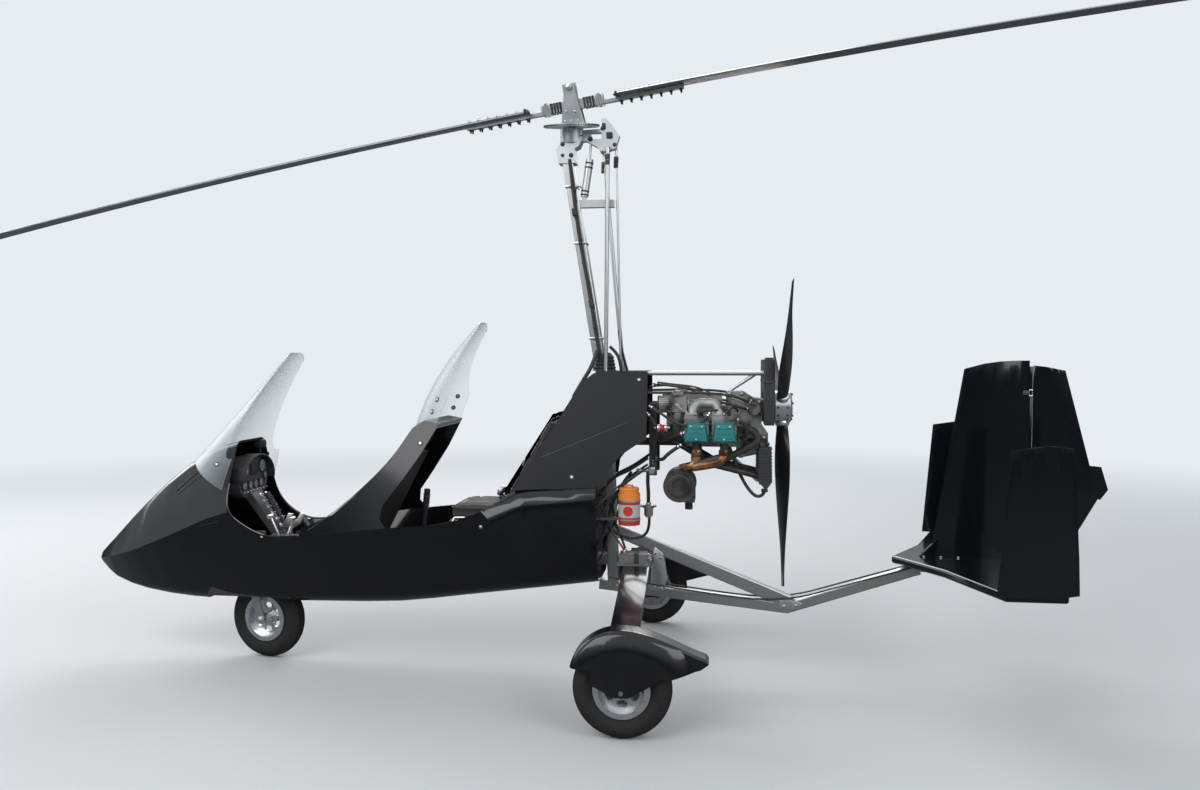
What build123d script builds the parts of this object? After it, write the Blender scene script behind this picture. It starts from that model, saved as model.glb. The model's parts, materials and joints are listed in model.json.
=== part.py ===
"""Two-seat gyrocopter with open tandem cockpits, a four-cylinder pusher engine and a two-blade rotor.

Millimetres. X points aft, Y to starboard and Z up. The origin lies on the ground under the
rotor head. The craft stands on its three wheels.
"""
import math
import os

from build123d import *

# Fits and walls
FIT = 0.3
RUNNING_FIT = 0.05
SHELL_WALL = 12.0
GLASS_WALL = 4.0

# Landing gear
TYRE_RADIUS = 207.5
TYRE_WIDTH = 104.0
RIM_SEAT_RADIUS = 101.5
RIM_FLANGE_RADIUS = 119.0
RIM_FLANGE_WIDTH = 84.0
RIM_WALL = 5.0
RIM_SPOKES = 6
AXLE_RADIUS = 10.0
HUB_RADIUS = 30.0
MAIN_AXLE_X = 352.0
MAIN_TRACK_HALF = 872.0
NOSE_AXLE_X = -1597.0
NOSE_TRAIL = 62.0
NOSE_REST_STEER = 11.0
FORK_LEG_GAP = 66.0
FORK_LEG_THICK = 8.0
FORK_CROWN_TOP = 449.0
STEM_RADIUS = 22.0
TOW_PIN_LENGTH = 20.0
STEM_TOP = 620.0

# Seats
SEAT_HALF = 185.0
SEAT_GAP = 8.0
CUSHION_THICK = 70.0
BACK_THICK = 50.0
BOARD_THICK = 10.0

# Hull
HULL_AFT_X = 165.0
HULL_SPAN_PARTS = 2
FIREWALL_X = HULL_AFT_X - 30
FIREWALL_THICK = 6.0
WELL_LENGTH_FORE = 250.0
WELL_LENGTH_AFT = 250.0
WELL_HALF_WIDTH = 170.0
WELL_TOP = 590.0
WELL_WALL = 4.0
WELL_CORNER = 60.0
WELL_FLOOR = 350.0

# Mast and keel; points in X, Y and Z
MAST_WIDTH = 70.0
MAST_DEPTH = 54.0
MAST_FOOT = (222, 0, 400)
MAST_KNEE = (190, 0, 1300)
MAST_TOP = (-18, 0, 2600)
MAST_GAP = 2.0
KEEL_WIDTH = 50.0
KEEL_DEPTH = 50.0
STRUT_DEPTH = 62.0
KEEL_FORE = (150, 0, 432)
KEEL_KNEE = (1085, 0, 338)
STRUT_FORE = (200, 0, 718)
STRUT_AFT = (1100, 0, 362)
BOOM_AFT = (1700, 0, 547)

# Rotor
HEAD_X = 10.0
HEAD_PIVOT_Z = 2665.0
HEAD_ROLL = 10.0
TEETER_RISE = 224.0
ROTOR_RADIUS = 4200.0
BLADE_CHORD = 200.0
BLADE_THICK = 24.0
BLADE_ROOT = 210.0
BLADE_DROOP_ANGLE = 4.3
ROTOR_TEETER_REST = 9.0
SPINDLE_RADIUS = 20.0

# Propeller and engine
PROP_X = 1046.0
PROP_HEIGHT = 1326.0
PROP_RADIUS = 860.0
PROP_HUB_RADIUS = 78.0
PROP_HUB_LENGTH = 70.0
PROP_BLADES = 3
SHAFT_RADIUS = 25.0
PROP_REST_ANGLE = 49.5
CRANK_HEIGHT = 1235.0
CRANKCASE_AFT_X = 825.0
GEARBOX_AFT_X = 945.0
CYLINDER_STATIONS = (637.0, 765.0)
CYLINDER_RADIUS = 50.0
HEAD_INNER_Y = 190.0
HEAD_OUTER_Y = 262.0
COVER_OUTER_Y = 300.0

# Tail
FIN_HALF_SPAN = 740.0
FIN_THICK = 34.0
TIE_DOWN_RADIUS = 6.0
STABILISER_Z = 590.0
STABILISER_THICK = 36.0
HINGE_PIN_RADIUS = 4.0
HINGE_LUG = 6.5
HINGE_LUG_THICK = 6.0
HINGE_HEIGHTS = (820.0, 1400.0)
RUDDER_HINGE_X = 2204.0
RUDDER_GAP = 8.0


def label_and_write(piece, name):
    """Names a finished piece and writes its STEP file."""
    piece.label = name
    export_step(piece, f"parts/{name}.step")


os.makedirs("parts", exist_ok=True)

# Hull form, nose to firewall
# columns: station X, belly half width, belly Z, chine half width, chine Z, crown half width, crown Z
HULL_FORM = (
    (-2530, 14, 474, 30, 500, 12, 530),
    (-2430, 48, 402, 105, 522, 40, 622),
    (-2230, 95, 350, 195, 582, 80, 812),
    (-1960, 130, 322, 262, 690, 118, 1024),
    (-1640, 165, 320, 306, 812, 150, 1155),
    (-1200, 200, 334, 345, 810, 190, 1110),
    (-830, 212, 348, 357, 822, 202, 1090),
    (-500, 215, 390, 360, 832, 210, 1080),
    (HULL_AFT_X, 190, 472, 318, 900, 200, 1100),
)


def form_slope(index, column):
    """Slope of one column of the hull form at a row, taken from the rows beside it."""
    before = HULL_FORM[max(index - 1, 0)]
    after = HULL_FORM[min(index + 1, len(HULL_FORM) - 1)]
    return (after[column] - before[column]) / (after[0] - before[0])


def hull_row(x):
    """Hull form at any station, on a smooth curve through the rows of the table."""
    index = 0
    while index < len(HULL_FORM) - 2 and x > HULL_FORM[index + 1][0]:
        index += 1
    start, end = HULL_FORM[index], HULL_FORM[index + 1]
    span = end[0] - start[0]
    share = (x - start[0]) / span
    blend = share * share * (3 - 2 * share)
    row = [x]
    for column in range(1, len(start)):
        value = start[column] * (1 - blend) + end[column] * blend
        value += span * form_slope(index, column) * share * (1 - share) ** 2
        value -= span * form_slope(index + 1, column) * share ** 2 * (1 - share)
        row.append(value)
    return row


def hull_half(x, z):
    """Half width of the hull's outside at a station and height."""
    belly_half, belly_z, chine_half, chine_z, crown_half, crown_z = hull_row(min(x, HULL_AFT_X))[1:]
    if z < chine_z:
        return belly_half + (chine_half - belly_half) * (z - belly_z) / (chine_z - belly_z)
    return chine_half + (crown_half - chine_half) * (z - chine_z) / (crown_z - chine_z)


def hull_section(x, inset):
    """One closed hull section, inset by a wall thickness, with rounded corners."""
    belly_half, belly_z, chine_half, chine_z, crown_half, crown_z = hull_row(x)[1:]
    size = chine_half - inset
    with BuildSketch(Plane.YZ.offset(x)) as section:
        with BuildLine():
            Polyline(
                (-belly_half + inset * 0.4, belly_z + inset),
                (belly_half - inset * 0.4, belly_z + inset),
                (chine_half - inset, chine_z),
                (crown_half - inset * 0.4, crown_z - inset),
                (-crown_half + inset * 0.4, crown_z - inset),
                (-chine_half + inset, chine_z),
                close=True,
            )
        make_face()
        fillet(section.vertices().group_by(Axis.Y)[0], size * 0.3)
        fillet(section.vertices().group_by(Axis.Y)[-1], size * 0.2)
    return section.sketch


def hull_solid(first_row, inset):
    """Loft through the hull's sections from a row of its form to the firewall."""
    rows = HULL_FORM[first_row:]
    stations = [rows[0][0]]
    for start, end in zip(rows, rows[1:]):
        for part in range(1, HULL_SPAN_PARTS + 1):
            stations.append(start[0] + (end[0] - start[0]) * part / HULL_SPAN_PARTS)
    with BuildPart() as solid:
        loft([hull_section(x, inset) for x in stations], ruled=True)
    return solid.part


def side_prism(points, half_width):
    """Extrusion of an outline in the X-Z plane to both sides of the middle plane."""
    with BuildPart() as solid:
        with BuildSketch(Plane.XZ):
            with BuildLine():
                Polyline(*points, close=True)
            make_face()
        extrude(amount=half_width, both=True)
    return solid.part


def round_tube(start, end, radius, wall=0.0):
    """Straight round tube or bar between two points."""
    start, end = Vector(*start), Vector(*end)
    with BuildPart() as tube:
        with BuildSketch(Plane(origin=start, z_dir=(end - start).normalized())):
            Circle(radius)
            if wall:
                Circle(radius - wall, mode=Mode.SUBTRACT)
        extrude(amount=(end - start).length)
    return tube.part


def bent_pipe(points, bend, radius):
    """Round pipe along straight runs joined by bends."""
    with BuildPart() as pipe:
        with BuildLine() as path:
            FilletPolyline(*points, radius=bend)
        with BuildSketch(Plane(origin=path.line @ 0, z_dir=path.line % 0)):
            Circle(radius)
        sweep()
    return pipe.part


def flat_bar(start, end, width, height):
    """Straight rectangular bar between two points of the X-Z plane; width lies along Y."""
    start, end = Vector(*start), Vector(*end)
    run = (end - start).normalized()
    with BuildPart() as bar:
        with BuildSketch(Plane(origin=start, x_dir=(0, 1, 0), z_dir=run)):
            RectangleRounded(width, height, min(width, height) * 0.12)
        extrude(amount=(end - start).length)
    return bar.part


def mirrored(part):
    """The same piece on the other side of the craft."""
    return mirror(part, about=Plane.XZ, mode=Mode.PRIVATE)


# Cockpit rim, seen from the side, in X and Z
RIM_CUT_TOP = 1600.0
RIM_LINE = (
    (-1690, RIM_CUT_TOP),
    (-1690, 850),
    (-1665, 790),
    (-1605, 735),
    (-1500, 676),
    (-1310, 690),
    (-870, 742),
    (-600, 770),
    (-490, 794),
    (-390, 832),
    (-290, 885),
    (-225, 935),
    (HULL_AFT_X + 300, 973),
    (HULL_AFT_X + 300, RIM_CUT_TOP),
)
cockpit_cut = side_prism(RIM_LINE, 500)


def rim_height(x):
    """Height of the cockpit rim at a station."""
    for (start_x, start_z), (end_x, end_z) in zip(RIM_LINE[1:], RIM_LINE[2:-1]):
        if start_x <= x <= end_x:
            return start_z + (end_z - start_z) * (x - start_x) / (end_x - start_x)
    return RIM_LINE[-2][1]


def fairing_form(stations, inset, top_z, top_half):
    """Tapering body that stands on the cockpit rim and is as wide there as the hull."""
    with BuildPart() as form:
        for x in stations:
            low_z = rim_height(x)
            low_half = hull_half(x, low_z) - inset
            with BuildSketch(Plane.YZ.offset(x)):
                with BuildLine():
                    Polyline(
                        (-low_half, low_z),
                        (low_half, low_z),
                        (top_half - inset, top_z),
                        (-top_half + inset, top_z),
                        close=True,
                    )
                make_face()
        loft(ruled=True)
    return form.part


nose_pivot = Vector(NOSE_AXLE_X - NOSE_TRAIL, 0, 0)
well_middle_x = nose_pivot.X + NOSE_TRAIL / 2

with BuildPart() as hull:
    add(hull_solid(0, 0))
    add(hull_solid(1, SHELL_WALL), mode=Mode.SUBTRACT)
    add(cockpit_cut, mode=Mode.SUBTRACT)
    with BuildSketch(Plane.XY.offset(100)):
        with Locations((well_middle_x, 0)):
            RectangleRounded(WELL_LENGTH_FORE + WELL_LENGTH_AFT, 2 * WELL_HALF_WIDTH, WELL_CORNER)
    extrude(amount=350, mode=Mode.SUBTRACT)
label_and_write(hull.part, "hull")

# Well over the nose wheel, open below
WELL_LENGTH = WELL_LENGTH_FORE + WELL_LENGTH_AFT
with BuildPart() as nose_wheel_well:
    with BuildSketch(Plane.XY.offset(WELL_FLOOR)):
        with Locations((well_middle_x, 0)):
            RectangleRounded(WELL_LENGTH - 2 * FIT, 2 * (WELL_HALF_WIDTH - FIT), WELL_CORNER - FIT)
    extrude(amount=WELL_TOP - WELL_FLOOR)
    with BuildSketch(Plane.XY.offset(WELL_FLOOR)):
        with Locations((well_middle_x, 0)):
            inner_length = WELL_LENGTH - 2 * WELL_WALL
            inner_width = 2 * (WELL_HALF_WIDTH - WELL_WALL)
            RectangleRounded(inner_length, inner_width, WELL_CORNER - WELL_WALL)
    extrude(amount=WELL_TOP - WELL_WALL - WELL_FLOOR, mode=Mode.SUBTRACT)
    with Locations((nose_pivot.X, 0, WELL_TOP)):
        Cylinder(STEM_RADIUS + 1, 40, mode=Mode.SUBTRACT)
label_and_write(nose_wheel_well.part, "nose_wheel_well")

# Firewall, closes the tub behind the rear seat
with BuildPart() as firewall:
    add(hull_solid(1, SHELL_WALL + FIT))
    with BuildSketch(Plane.YZ.offset(FIREWALL_X)):
        Rectangle(1400, 3000)
    extrude(amount=FIREWALL_THICK, mode=Mode.INTERSECT)
    add(cockpit_cut, mode=Mode.SUBTRACT)
label_and_write(firewall.part, "firewall")

# Middle fairing: front backrest and foot of the rear windshield, open towards the rear
MID_FAIRING_SIDE = (
    (-1306, 680),
    (-1285, 729),
    (-1128, 800),
    (-1024, 887),
    (-894, 1013),
    (-816, 1113),
    (-745, 1222),
    (-690, 1258),
    (-613, 1244),
    (-699, 1093),
    (-801, 945),
    (-872, 848),
    (-880, 790),
    (-846, 735),
)
MID_FAIRING_INNER = (
    (-1225, 680),
    (-1160, 745),
    (-1010, 855),
    (-885, 980),
    (-800, 1090),
    (-725, 1205),
    (-560, 1230),
    (-560, 680),
)
MID_FAIRING_STATIONS = (-1310, -950, -600)
MID_FAIRING_TOP = 1260.0
MID_FAIRING_TOP_HALF = 215.0
with BuildPart() as mid_hollow:
    add(side_prism(MID_FAIRING_INNER, 400))
    add(
        fairing_form(MID_FAIRING_STATIONS, SHELL_WALL, MID_FAIRING_TOP, MID_FAIRING_TOP_HALF),
        mode=Mode.INTERSECT,
    )
with BuildPart() as mid_fairing:
    add(side_prism(MID_FAIRING_SIDE, 400))
    add(fairing_form(MID_FAIRING_STATIONS, 0, MID_FAIRING_TOP, MID_FAIRING_TOP_HALF), mode=Mode.INTERSECT)
    add(Location((0, 0, FIT)) * cockpit_cut, mode=Mode.INTERSECT)
    add(mid_hollow.part, mode=Mode.SUBTRACT)
    with Locations((-1050, 0, 850)):
        Box(600, 2 * (SEAT_HALF + SEAT_GAP), 620, mode=Mode.SUBTRACT)
label_and_write(mid_fairing.part, "mid_fairing")


def lower_mast(gap):
    """Foot tube of the mast, grown by a gap."""
    return flat_bar(MAST_FOOT, MAST_KNEE, MAST_WIDTH + 2 * gap, MAST_DEPTH + 2 * gap)


def upper_mast(gap):
    """Leaning tube of the mast, grown by a gap."""
    return flat_bar(MAST_KNEE, MAST_TOP, MAST_WIDTH + 2 * gap, MAST_DEPTH + 2 * gap)


# Rear cowling: rear backrest, mast foot and engine bay cover
COWL_SIDE = (
    (-240, 880),
    (-215, 961),
    (-156, 1061),
    (-59, 1211),
    (38, 1374),
    (86, 1450),
    (140, 1490),
    (167, 1499),
    (400, 1500),
    (400, 1178),
    (348, 1149),
    (277, 1101),
    (225, 1033),
    (205, 900),
)
COWL_INNER = (
    (-215, 880),
    (-115, 1080),
    (20, 1225),
    (90, 1340),
    (150, 1440),
    (190, 1480),
    (450, 1480),
    (450, 880),
)
COWL_STATIONS = (-250, -30, HULL_AFT_X, 450)
COWL_TOP = 1500.0
COWL_TOP_HALF = 165.0
with BuildPart() as cowl_hollow:
    add(side_prism(COWL_INNER, 400))
    add(fairing_form(COWL_STATIONS, SHELL_WALL, COWL_TOP, COWL_TOP_HALF), mode=Mode.INTERSECT)
with BuildPart() as rear_cowling:
    add(side_prism(COWL_SIDE, 400))
    add(fairing_form(COWL_STATIONS, 0, COWL_TOP, COWL_TOP_HALF), mode=Mode.INTERSECT)
    add(Location((0, 0, FIT)) * cockpit_cut, mode=Mode.INTERSECT)
    add(cowl_hollow.part, mode=Mode.SUBTRACT)
    with Locations((-130, 0, 1090)):
        Box(400, 2 * (SEAT_HALF + SEAT_GAP), 380, mode=Mode.SUBTRACT)
    add(lower_mast(MAST_GAP), mode=Mode.SUBTRACT)
    add(upper_mast(MAST_GAP), mode=Mode.SUBTRACT)
label_and_write(rear_cowling.part, "rear_cowling")


def glass_section(height, edge_x, edge_half, nose_x, inset):
    """Thin bowed strip in a level plane: one level of a windshield."""
    with BuildSketch(Plane.XY.offset(height)) as section:
        with BuildLine():
            inner_half = edge_half - inset
            outer = ThreePointArc((edge_x, -edge_half), (nose_x, 0), (edge_x, edge_half))
            inner = ThreePointArc((edge_x, -inner_half), (nose_x + inset, 0), (edge_x, inner_half))
            Line(outer @ 0, inner @ 0)
            Line(outer @ 1, inner @ 1)
        make_face()
    return section.sketch


# Windshield levels; columns: Z, X of the rear edges, half width there, X of the middle
FRONT_GLASS = (
    (880, -1712, 292, -2110),
    (1240, -1592, 230, -1772),
    (1590, -1405, 120, -1452),
)
REAR_GLASS = (
    (1180, -650, 222, -800),
    (1440, -545, 200, -690),
    (1742, -425, 105, -452),
)
with BuildPart() as front_windshield:
    loft([glass_section(z, edge_x, half, middle_x, GLASS_WALL) for z, edge_x, half, middle_x in FRONT_GLASS])
    add(hull_solid(0, -FIT), mode=Mode.SUBTRACT)
label_and_write(front_windshield.part, "front_windshield")

with BuildPart() as rear_windshield:
    loft([glass_section(z, edge_x, half, middle_x, GLASS_WALL) for z, edge_x, half, middle_x in REAR_GLASS])
    add(side_prism(MID_FAIRING_SIDE[3:9] + ((-560, 1100), (-1000, 800)), 400), mode=Mode.SUBTRACT)
label_and_write(rear_windshield.part, "rear_windshield")

# Instrument panel and its console
PANEL_AFT_X = -1680.0
PANEL_DEPTH = 64.0
with BuildPart() as instrument_panel:
    with BuildSketch(Plane.YZ.offset(PANEL_AFT_X - PANEL_DEPTH)):
        with Locations((0, 945)):
            RectangleRounded(310, 214, 90)
    extrude(amount=PANEL_DEPTH)
    add(flat_bar((PANEL_AFT_X - 24, 0, 880), (-1470, 0, 570), 116, 44))
    with BuildSketch(Plane.XY.offset(WELL_TOP + FIT)):
        Rectangle(6000, 1000)
    extrude(amount=-100, mode=Mode.SUBTRACT)
label_and_write(instrument_panel.part, "instrument_panel")

# Seats: a bent board, a cushion and a back pad each
# columns: name, front X of the cushion, its top Z, foot X and Z of the back pad, its top X and Z
SEATS = (
    ("front", -1365, 560, -1085, 575, -800, 1130),
    ("rear", -575, 835, -280, 850, -45, 1265),
)
for seat_name, front_x, cushion_top, foot_x, foot_z, top_x, top_z in SEATS:
    pan_z = cushion_top - CUSHION_THICK - FIT
    rise = Vector(top_x - foot_x, 0, top_z - foot_z)
    lean = rise.normalized()
    behind = Vector(lean.Z, 0, -lean.X)
    with BuildPart() as seat_cushion:
        with BuildSketch(Plane.XY.offset(cushion_top - CUSHION_THICK)):
            with Locations(((front_x + foot_x - 50) / 2, 0)):
                RectangleRounded(foot_x - front_x - 50, 2 * SEAT_HALF, 40)
        extrude(amount=CUSHION_THICK)
        fillet(seat_cushion.edges().group_by(Axis.Z)[-1], 18)
    label_and_write(seat_cushion.part, f"{seat_name}_seat_cushion")
    with BuildPart() as back_pad:
        with BuildSketch(Plane(origin=(foot_x, 0, foot_z), x_dir=(0, 1, 0), z_dir=lean)):
            RectangleRounded(2 * SEAT_HALF - 30, BACK_THICK, 18)
        extrude(amount=rise.length)
    label_and_write(back_pad.part, f"{seat_name}_back_pad")
    board_shift = behind * ((BACK_THICK + BOARD_THICK) / 2 + FIT)
    board_foot = Vector(foot_x, 0, foot_z) + board_shift
    board_foot = board_foot - lean * ((board_foot.Z - pan_z + BOARD_THICK / 2) / lean.Z)
    board_top = Vector(top_x, 0, top_z) + board_shift
    with BuildPart() as seat_board:
        add(flat_bar(board_foot, board_top, 2 * SEAT_HALF, BOARD_THICK))
        with Locations(((front_x + board_foot.X) / 2, 0, pan_z - BOARD_THICK / 2)):
            Box(board_foot.X - front_x, 2 * SEAT_HALF, BOARD_THICK)
        with Locations(((front_x + board_foot.X) / 2, 0, (pan_z - BOARD_THICK / 2 + 300) / 2)):
            Box(160, 200, pan_z - BOARD_THICK / 2 - 300)
        add(hull_solid(1, SHELL_WALL + FIT), mode=Mode.INTERSECT)
    label_and_write(seat_board.part, f"{seat_name}_seat_board")


# Wheels
def tyre_solid():
    """Tyre about the Z axis, centred on the origin."""
    half = TYRE_WIDTH / 2
    bead_half = RIM_FLANGE_WIDTH / 2 - RIM_WALL - FIT
    with BuildPart() as tyre:
        with BuildSketch(Plane.XZ):
            with BuildLine():
                foot = Line((RIM_SEAT_RADIUS, bead_half), (RIM_SEAT_RADIUS, -bead_half))
                low = Line(foot @ 1, (RIM_FLANGE_RADIUS + 4, -bead_half))
                low_wall = ThreePointArc(
                    low @ 1,
                    (RIM_FLANGE_RADIUS + 42, -half),
                    (TYRE_RADIUS - 18, -half * 0.72),
                )
                tread = ThreePointArc(low_wall @ 1, (TYRE_RADIUS, 0), (TYRE_RADIUS - 18, half * 0.72))
                high_wall = ThreePointArc(
                    tread @ 1,
                    (RIM_FLANGE_RADIUS + 42, half),
                    (RIM_FLANGE_RADIUS + 4, bead_half),
                )
                Line(high_wall @ 1, foot @ 0)
            make_face()
        revolve(axis=Axis.Z)
    return tyre.part


def rim_solid():
    """Six-spoke rim about the Z axis with a bored hub."""
    half = RIM_FLANGE_WIDTH / 2
    seat = RIM_SEAT_RADIUS - FIT
    with BuildPart() as rim:
        with BuildSketch(Plane.XZ):
            with BuildLine():
                Polyline(
                    (seat - RIM_WALL, -half),
                    (RIM_FLANGE_RADIUS, -half),
                    (RIM_FLANGE_RADIUS, -half + RIM_WALL),
                    (seat, -half + RIM_WALL),
                    (seat, half - RIM_WALL),
                    (RIM_FLANGE_RADIUS, half - RIM_WALL),
                    (RIM_FLANGE_RADIUS, half),
                    (seat - RIM_WALL, half),
                    close=True,
                )
            make_face()
        revolve(axis=Axis.Z)
        with BuildSketch(Plane.XY.offset(-8)):
            Circle(seat - RIM_WALL / 2)
            with PolarLocations(62, RIM_SPOKES, start_angle=30):
                SlotOverall(44, 30, rotation=90, mode=Mode.SUBTRACT)
        extrude(amount=16)
        Cylinder(HUB_RADIUS, RIM_FLANGE_WIDTH + 6)
        Cylinder(AXLE_RADIUS + RUNNING_FIT, RIM_FLANGE_WIDTH + 20, mode=Mode.SUBTRACT)
    return rim.part


tyre_blank = tyre_solid()
rim_blank = rim_solid()
nose_turn = Rotation(0, 0, -NOSE_REST_STEER)
WHEELS = (
    ("left", Location((MAIN_AXLE_X, -MAIN_TRACK_HALF, TYRE_RADIUS), (90, 0, 0))),
    ("right", Location((MAIN_AXLE_X, MAIN_TRACK_HALF, TYRE_RADIUS), (-90, 0, 0))),
    ("nose", Location(nose_pivot) * nose_turn * Location((NOSE_TRAIL, 0, TYRE_RADIUS), (90, 0, 0))),
)
for wheel_name, place in WHEELS:
    label_and_write(place * tyre_blank, f"{wheel_name}_tyre")
    label_and_write(place * rim_blank, f"{wheel_name}_rim")

# Nose fork: crown, two legs and axle, built straight ahead and then turned to its rest angle
with BuildPart() as fork_straight:
    with BuildSketch(Plane.XY.offset(FORK_CROWN_TOP - 22)):
        RectangleRounded(60, 2 * (FORK_LEG_GAP + FORK_LEG_THICK), 10)
    extrude(amount=22)
    with BuildSketch(Plane.XY.offset(FORK_CROWN_TOP - 10)):
        Circle(STEM_RADIUS)
    extrude(amount=STEM_TOP - FORK_CROWN_TOP + 10)
    for side in (-1, 1):
        leg_start = FORK_LEG_GAP if side > 0 else -FORK_LEG_GAP - FORK_LEG_THICK
        with BuildSketch(Plane.XZ.offset(-leg_start)):
            with BuildLine():
                Polyline(
                    (-24, 2 * TYRE_RADIUS + 30),
                    (24, 2 * TYRE_RADIUS + 30),
                    (NOSE_TRAIL + 22, TYRE_RADIUS + 12),
                    (NOSE_TRAIL + 18, TYRE_RADIUS - 20),
                    (NOSE_TRAIL - 18, TYRE_RADIUS - 20),
                    (NOSE_TRAIL - 22, TYRE_RADIUS + 12),
                    close=True,
                )
            make_face()
        extrude(amount=-FORK_LEG_THICK)
    with Locations(Location((NOSE_TRAIL, 0, TYRE_RADIUS), (90, 0, 0))):
        Cylinder(AXLE_RADIUS, 2 * (FORK_LEG_GAP + FORK_LEG_THICK + TOW_PIN_LENGTH))
label_and_write(Location(nose_pivot) * nose_turn * fork_straight.part, "nose_fork")

# Bearing over the well that carries the fork's stem
with BuildPart() as steering_bearing:
    with BuildSketch(Plane.XY.offset(WELL_TOP + FIT)):
        with Locations((nose_pivot.X, 0)):
            Circle(STEM_RADIUS + 18)
            Circle(STEM_RADIUS + RUNNING_FIT, mode=Mode.SUBTRACT)
    extrude(amount=60)
label_and_write(steering_bearing.part, "steering_bearing")

# Gear bow: one sprung blade from axle to axle above the keel
BOW_THICK = 24.0
BOW_FORE_X = MAIN_AXLE_X - 62.0
BOW_AFT_X = MAIN_AXLE_X + 62.0
BOW_ROOT_HALF = 230.0
BOW_ROOT_Z = 545.0
BOW_KNEE_Z = 425.0
bow_end_y = MAIN_TRACK_HALF - TYRE_WIDTH / 2 - 44
with BuildPart() as gear_bow:
    with BuildSketch(Plane.YZ.offset(BOW_FORE_X)):
        with BuildLine():
            Polyline(
                (-bow_end_y, TYRE_RADIUS - 30),
                (-bow_end_y, BOW_KNEE_Z),
                (-BOW_ROOT_HALF, BOW_ROOT_Z + BOW_THICK),
                (BOW_ROOT_HALF, BOW_ROOT_Z + BOW_THICK),
                (bow_end_y, BOW_KNEE_Z),
                (bow_end_y, TYRE_RADIUS - 30),
                (bow_end_y - BOW_THICK, TYRE_RADIUS - 30),
                (bow_end_y - BOW_THICK, BOW_KNEE_Z - BOW_THICK * 0.8),
                (BOW_ROOT_HALF - 4, BOW_ROOT_Z),
                (-BOW_ROOT_HALF + 4, BOW_ROOT_Z),
                (-bow_end_y + BOW_THICK, BOW_KNEE_Z - BOW_THICK * 0.8),
                (-bow_end_y + BOW_THICK, TYRE_RADIUS - 30),
                close=True,
            )
        make_face()
    extrude(amount=BOW_AFT_X - BOW_FORE_X)
label_and_write(gear_bow.part, "gear_bow")

# Main axles: stubs from the bow's ends through the hubs
axle_outer_y = MAIN_TRACK_HALF + RIM_FLANGE_WIDTH / 2 + 26
axle_start = (MAIN_AXLE_X, -bow_end_y - FIT, TYRE_RADIUS)
axle_end = (MAIN_AXLE_X, -axle_outer_y, TYRE_RADIUS)
with BuildPart() as main_axle_left:
    add(round_tube(axle_start, axle_end, AXLE_RADIUS))
label_and_write(main_axle_left.part, "main_axle_left")
label_and_write(mirrored(main_axle_left.part), "main_axle_right")

# Wheel fairings: a drop-shaped cap over each main wheel with a side plate to the axle's end
PANT_HALF = 74.0
PANT_OUTER = (
    (MAIN_AXLE_X - 214, 300),
    (MAIN_AXLE_X - 180, 374),
    (MAIN_AXLE_X - 104, 432),
    (MAIN_AXLE_X - 5, 454),
    (MAIN_AXLE_X + 110, 436),
    (MAIN_AXLE_X + 235, 388),
    (MAIN_AXLE_X + 340, 346),
)
PANT_TAIL = (
    (MAIN_AXLE_X + 340, 346),
    (MAIN_AXLE_X + 354, 326),
    (MAIN_AXLE_X + 322, 302),
    (MAIN_AXLE_X + 200, 268),
    (MAIN_AXLE_X - 214, 300),
)
PANT_ROUND = 22.0
PANT_GAP = 14.0
wheel_room_radius = TYRE_RADIUS + PANT_GAP
with BuildPart() as wheel_fairing_left:
    with BuildSketch(Plane.XZ.offset(MAIN_TRACK_HALF - PANT_HALF)):
        with BuildLine():
            Spline(*PANT_OUTER)
            Polyline(*PANT_TAIL)
        make_face()
    extrude(amount=2 * PANT_HALF)
    crown_edges = wheel_fairing_left.edges().filter_by(GeomType.BSPLINE)
    fillet(crown_edges, PANT_ROUND)
    with BuildSketch(Plane.XZ.offset(MAIN_TRACK_HALF - PANT_HALF + 8)):
        with Locations((MAIN_AXLE_X, TYRE_RADIUS)):
            Circle(wheel_room_radius)
    extrude(amount=2 * (PANT_HALF - 8), mode=Mode.SUBTRACT)
    with BuildSketch(Plane.XZ.offset(MAIN_TRACK_HALF + PANT_HALF - 8)):
        with BuildLine():
            Polyline(
                (MAIN_AXLE_X - 120, 235),
                (MAIN_AXLE_X - 150, 380),
                (MAIN_AXLE_X + 150, 400),
                (MAIN_AXLE_X + 190, 290),
                (MAIN_AXLE_X + 120, 240),
                (MAIN_AXLE_X + 30, 188),
                (MAIN_AXLE_X - 30, 188),
                close=True,
            )
        make_face()
        with Locations((MAIN_AXLE_X, TYRE_RADIUS)):
            Circle(AXLE_RADIUS + RUNNING_FIT, mode=Mode.SUBTRACT)
    extrude(amount=8)
label_and_write(wheel_fairing_left.part, "wheel_fairing_left")
label_and_write(mirrored(wheel_fairing_left.part), "wheel_fairing_right")

# Keel: upper strut, lower keel and tail boom, with the tie-down eye
with BuildPart() as keel_frame:
    add(flat_bar(STRUT_FORE, STRUT_AFT, KEEL_WIDTH, STRUT_DEPTH))
    add(lower_mast(FIT), mode=Mode.SUBTRACT)
    with Locations((150, 0, 720)):
        Box(100, 200, 300, mode=Mode.SUBTRACT)
    add(flat_bar(KEEL_FORE, KEEL_KNEE, KEEL_WIDTH, KEEL_DEPTH))
    add(flat_bar((KEEL_KNEE[0] - 13, 0, KEEL_KNEE[2]), BOOM_AFT, KEEL_WIDTH, KEEL_DEPTH))
    with Locations((1760, 0, STABILISER_Z - STABILISER_THICK / 2 - FIT - 16)):
        Box(200, 80, 32)
        with Locations((70, 0, 0)):
            Cylinder(TIE_DOWN_RADIUS, 60, mode=Mode.SUBTRACT)
label_and_write(keel_frame.part, "keel_frame")

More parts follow.
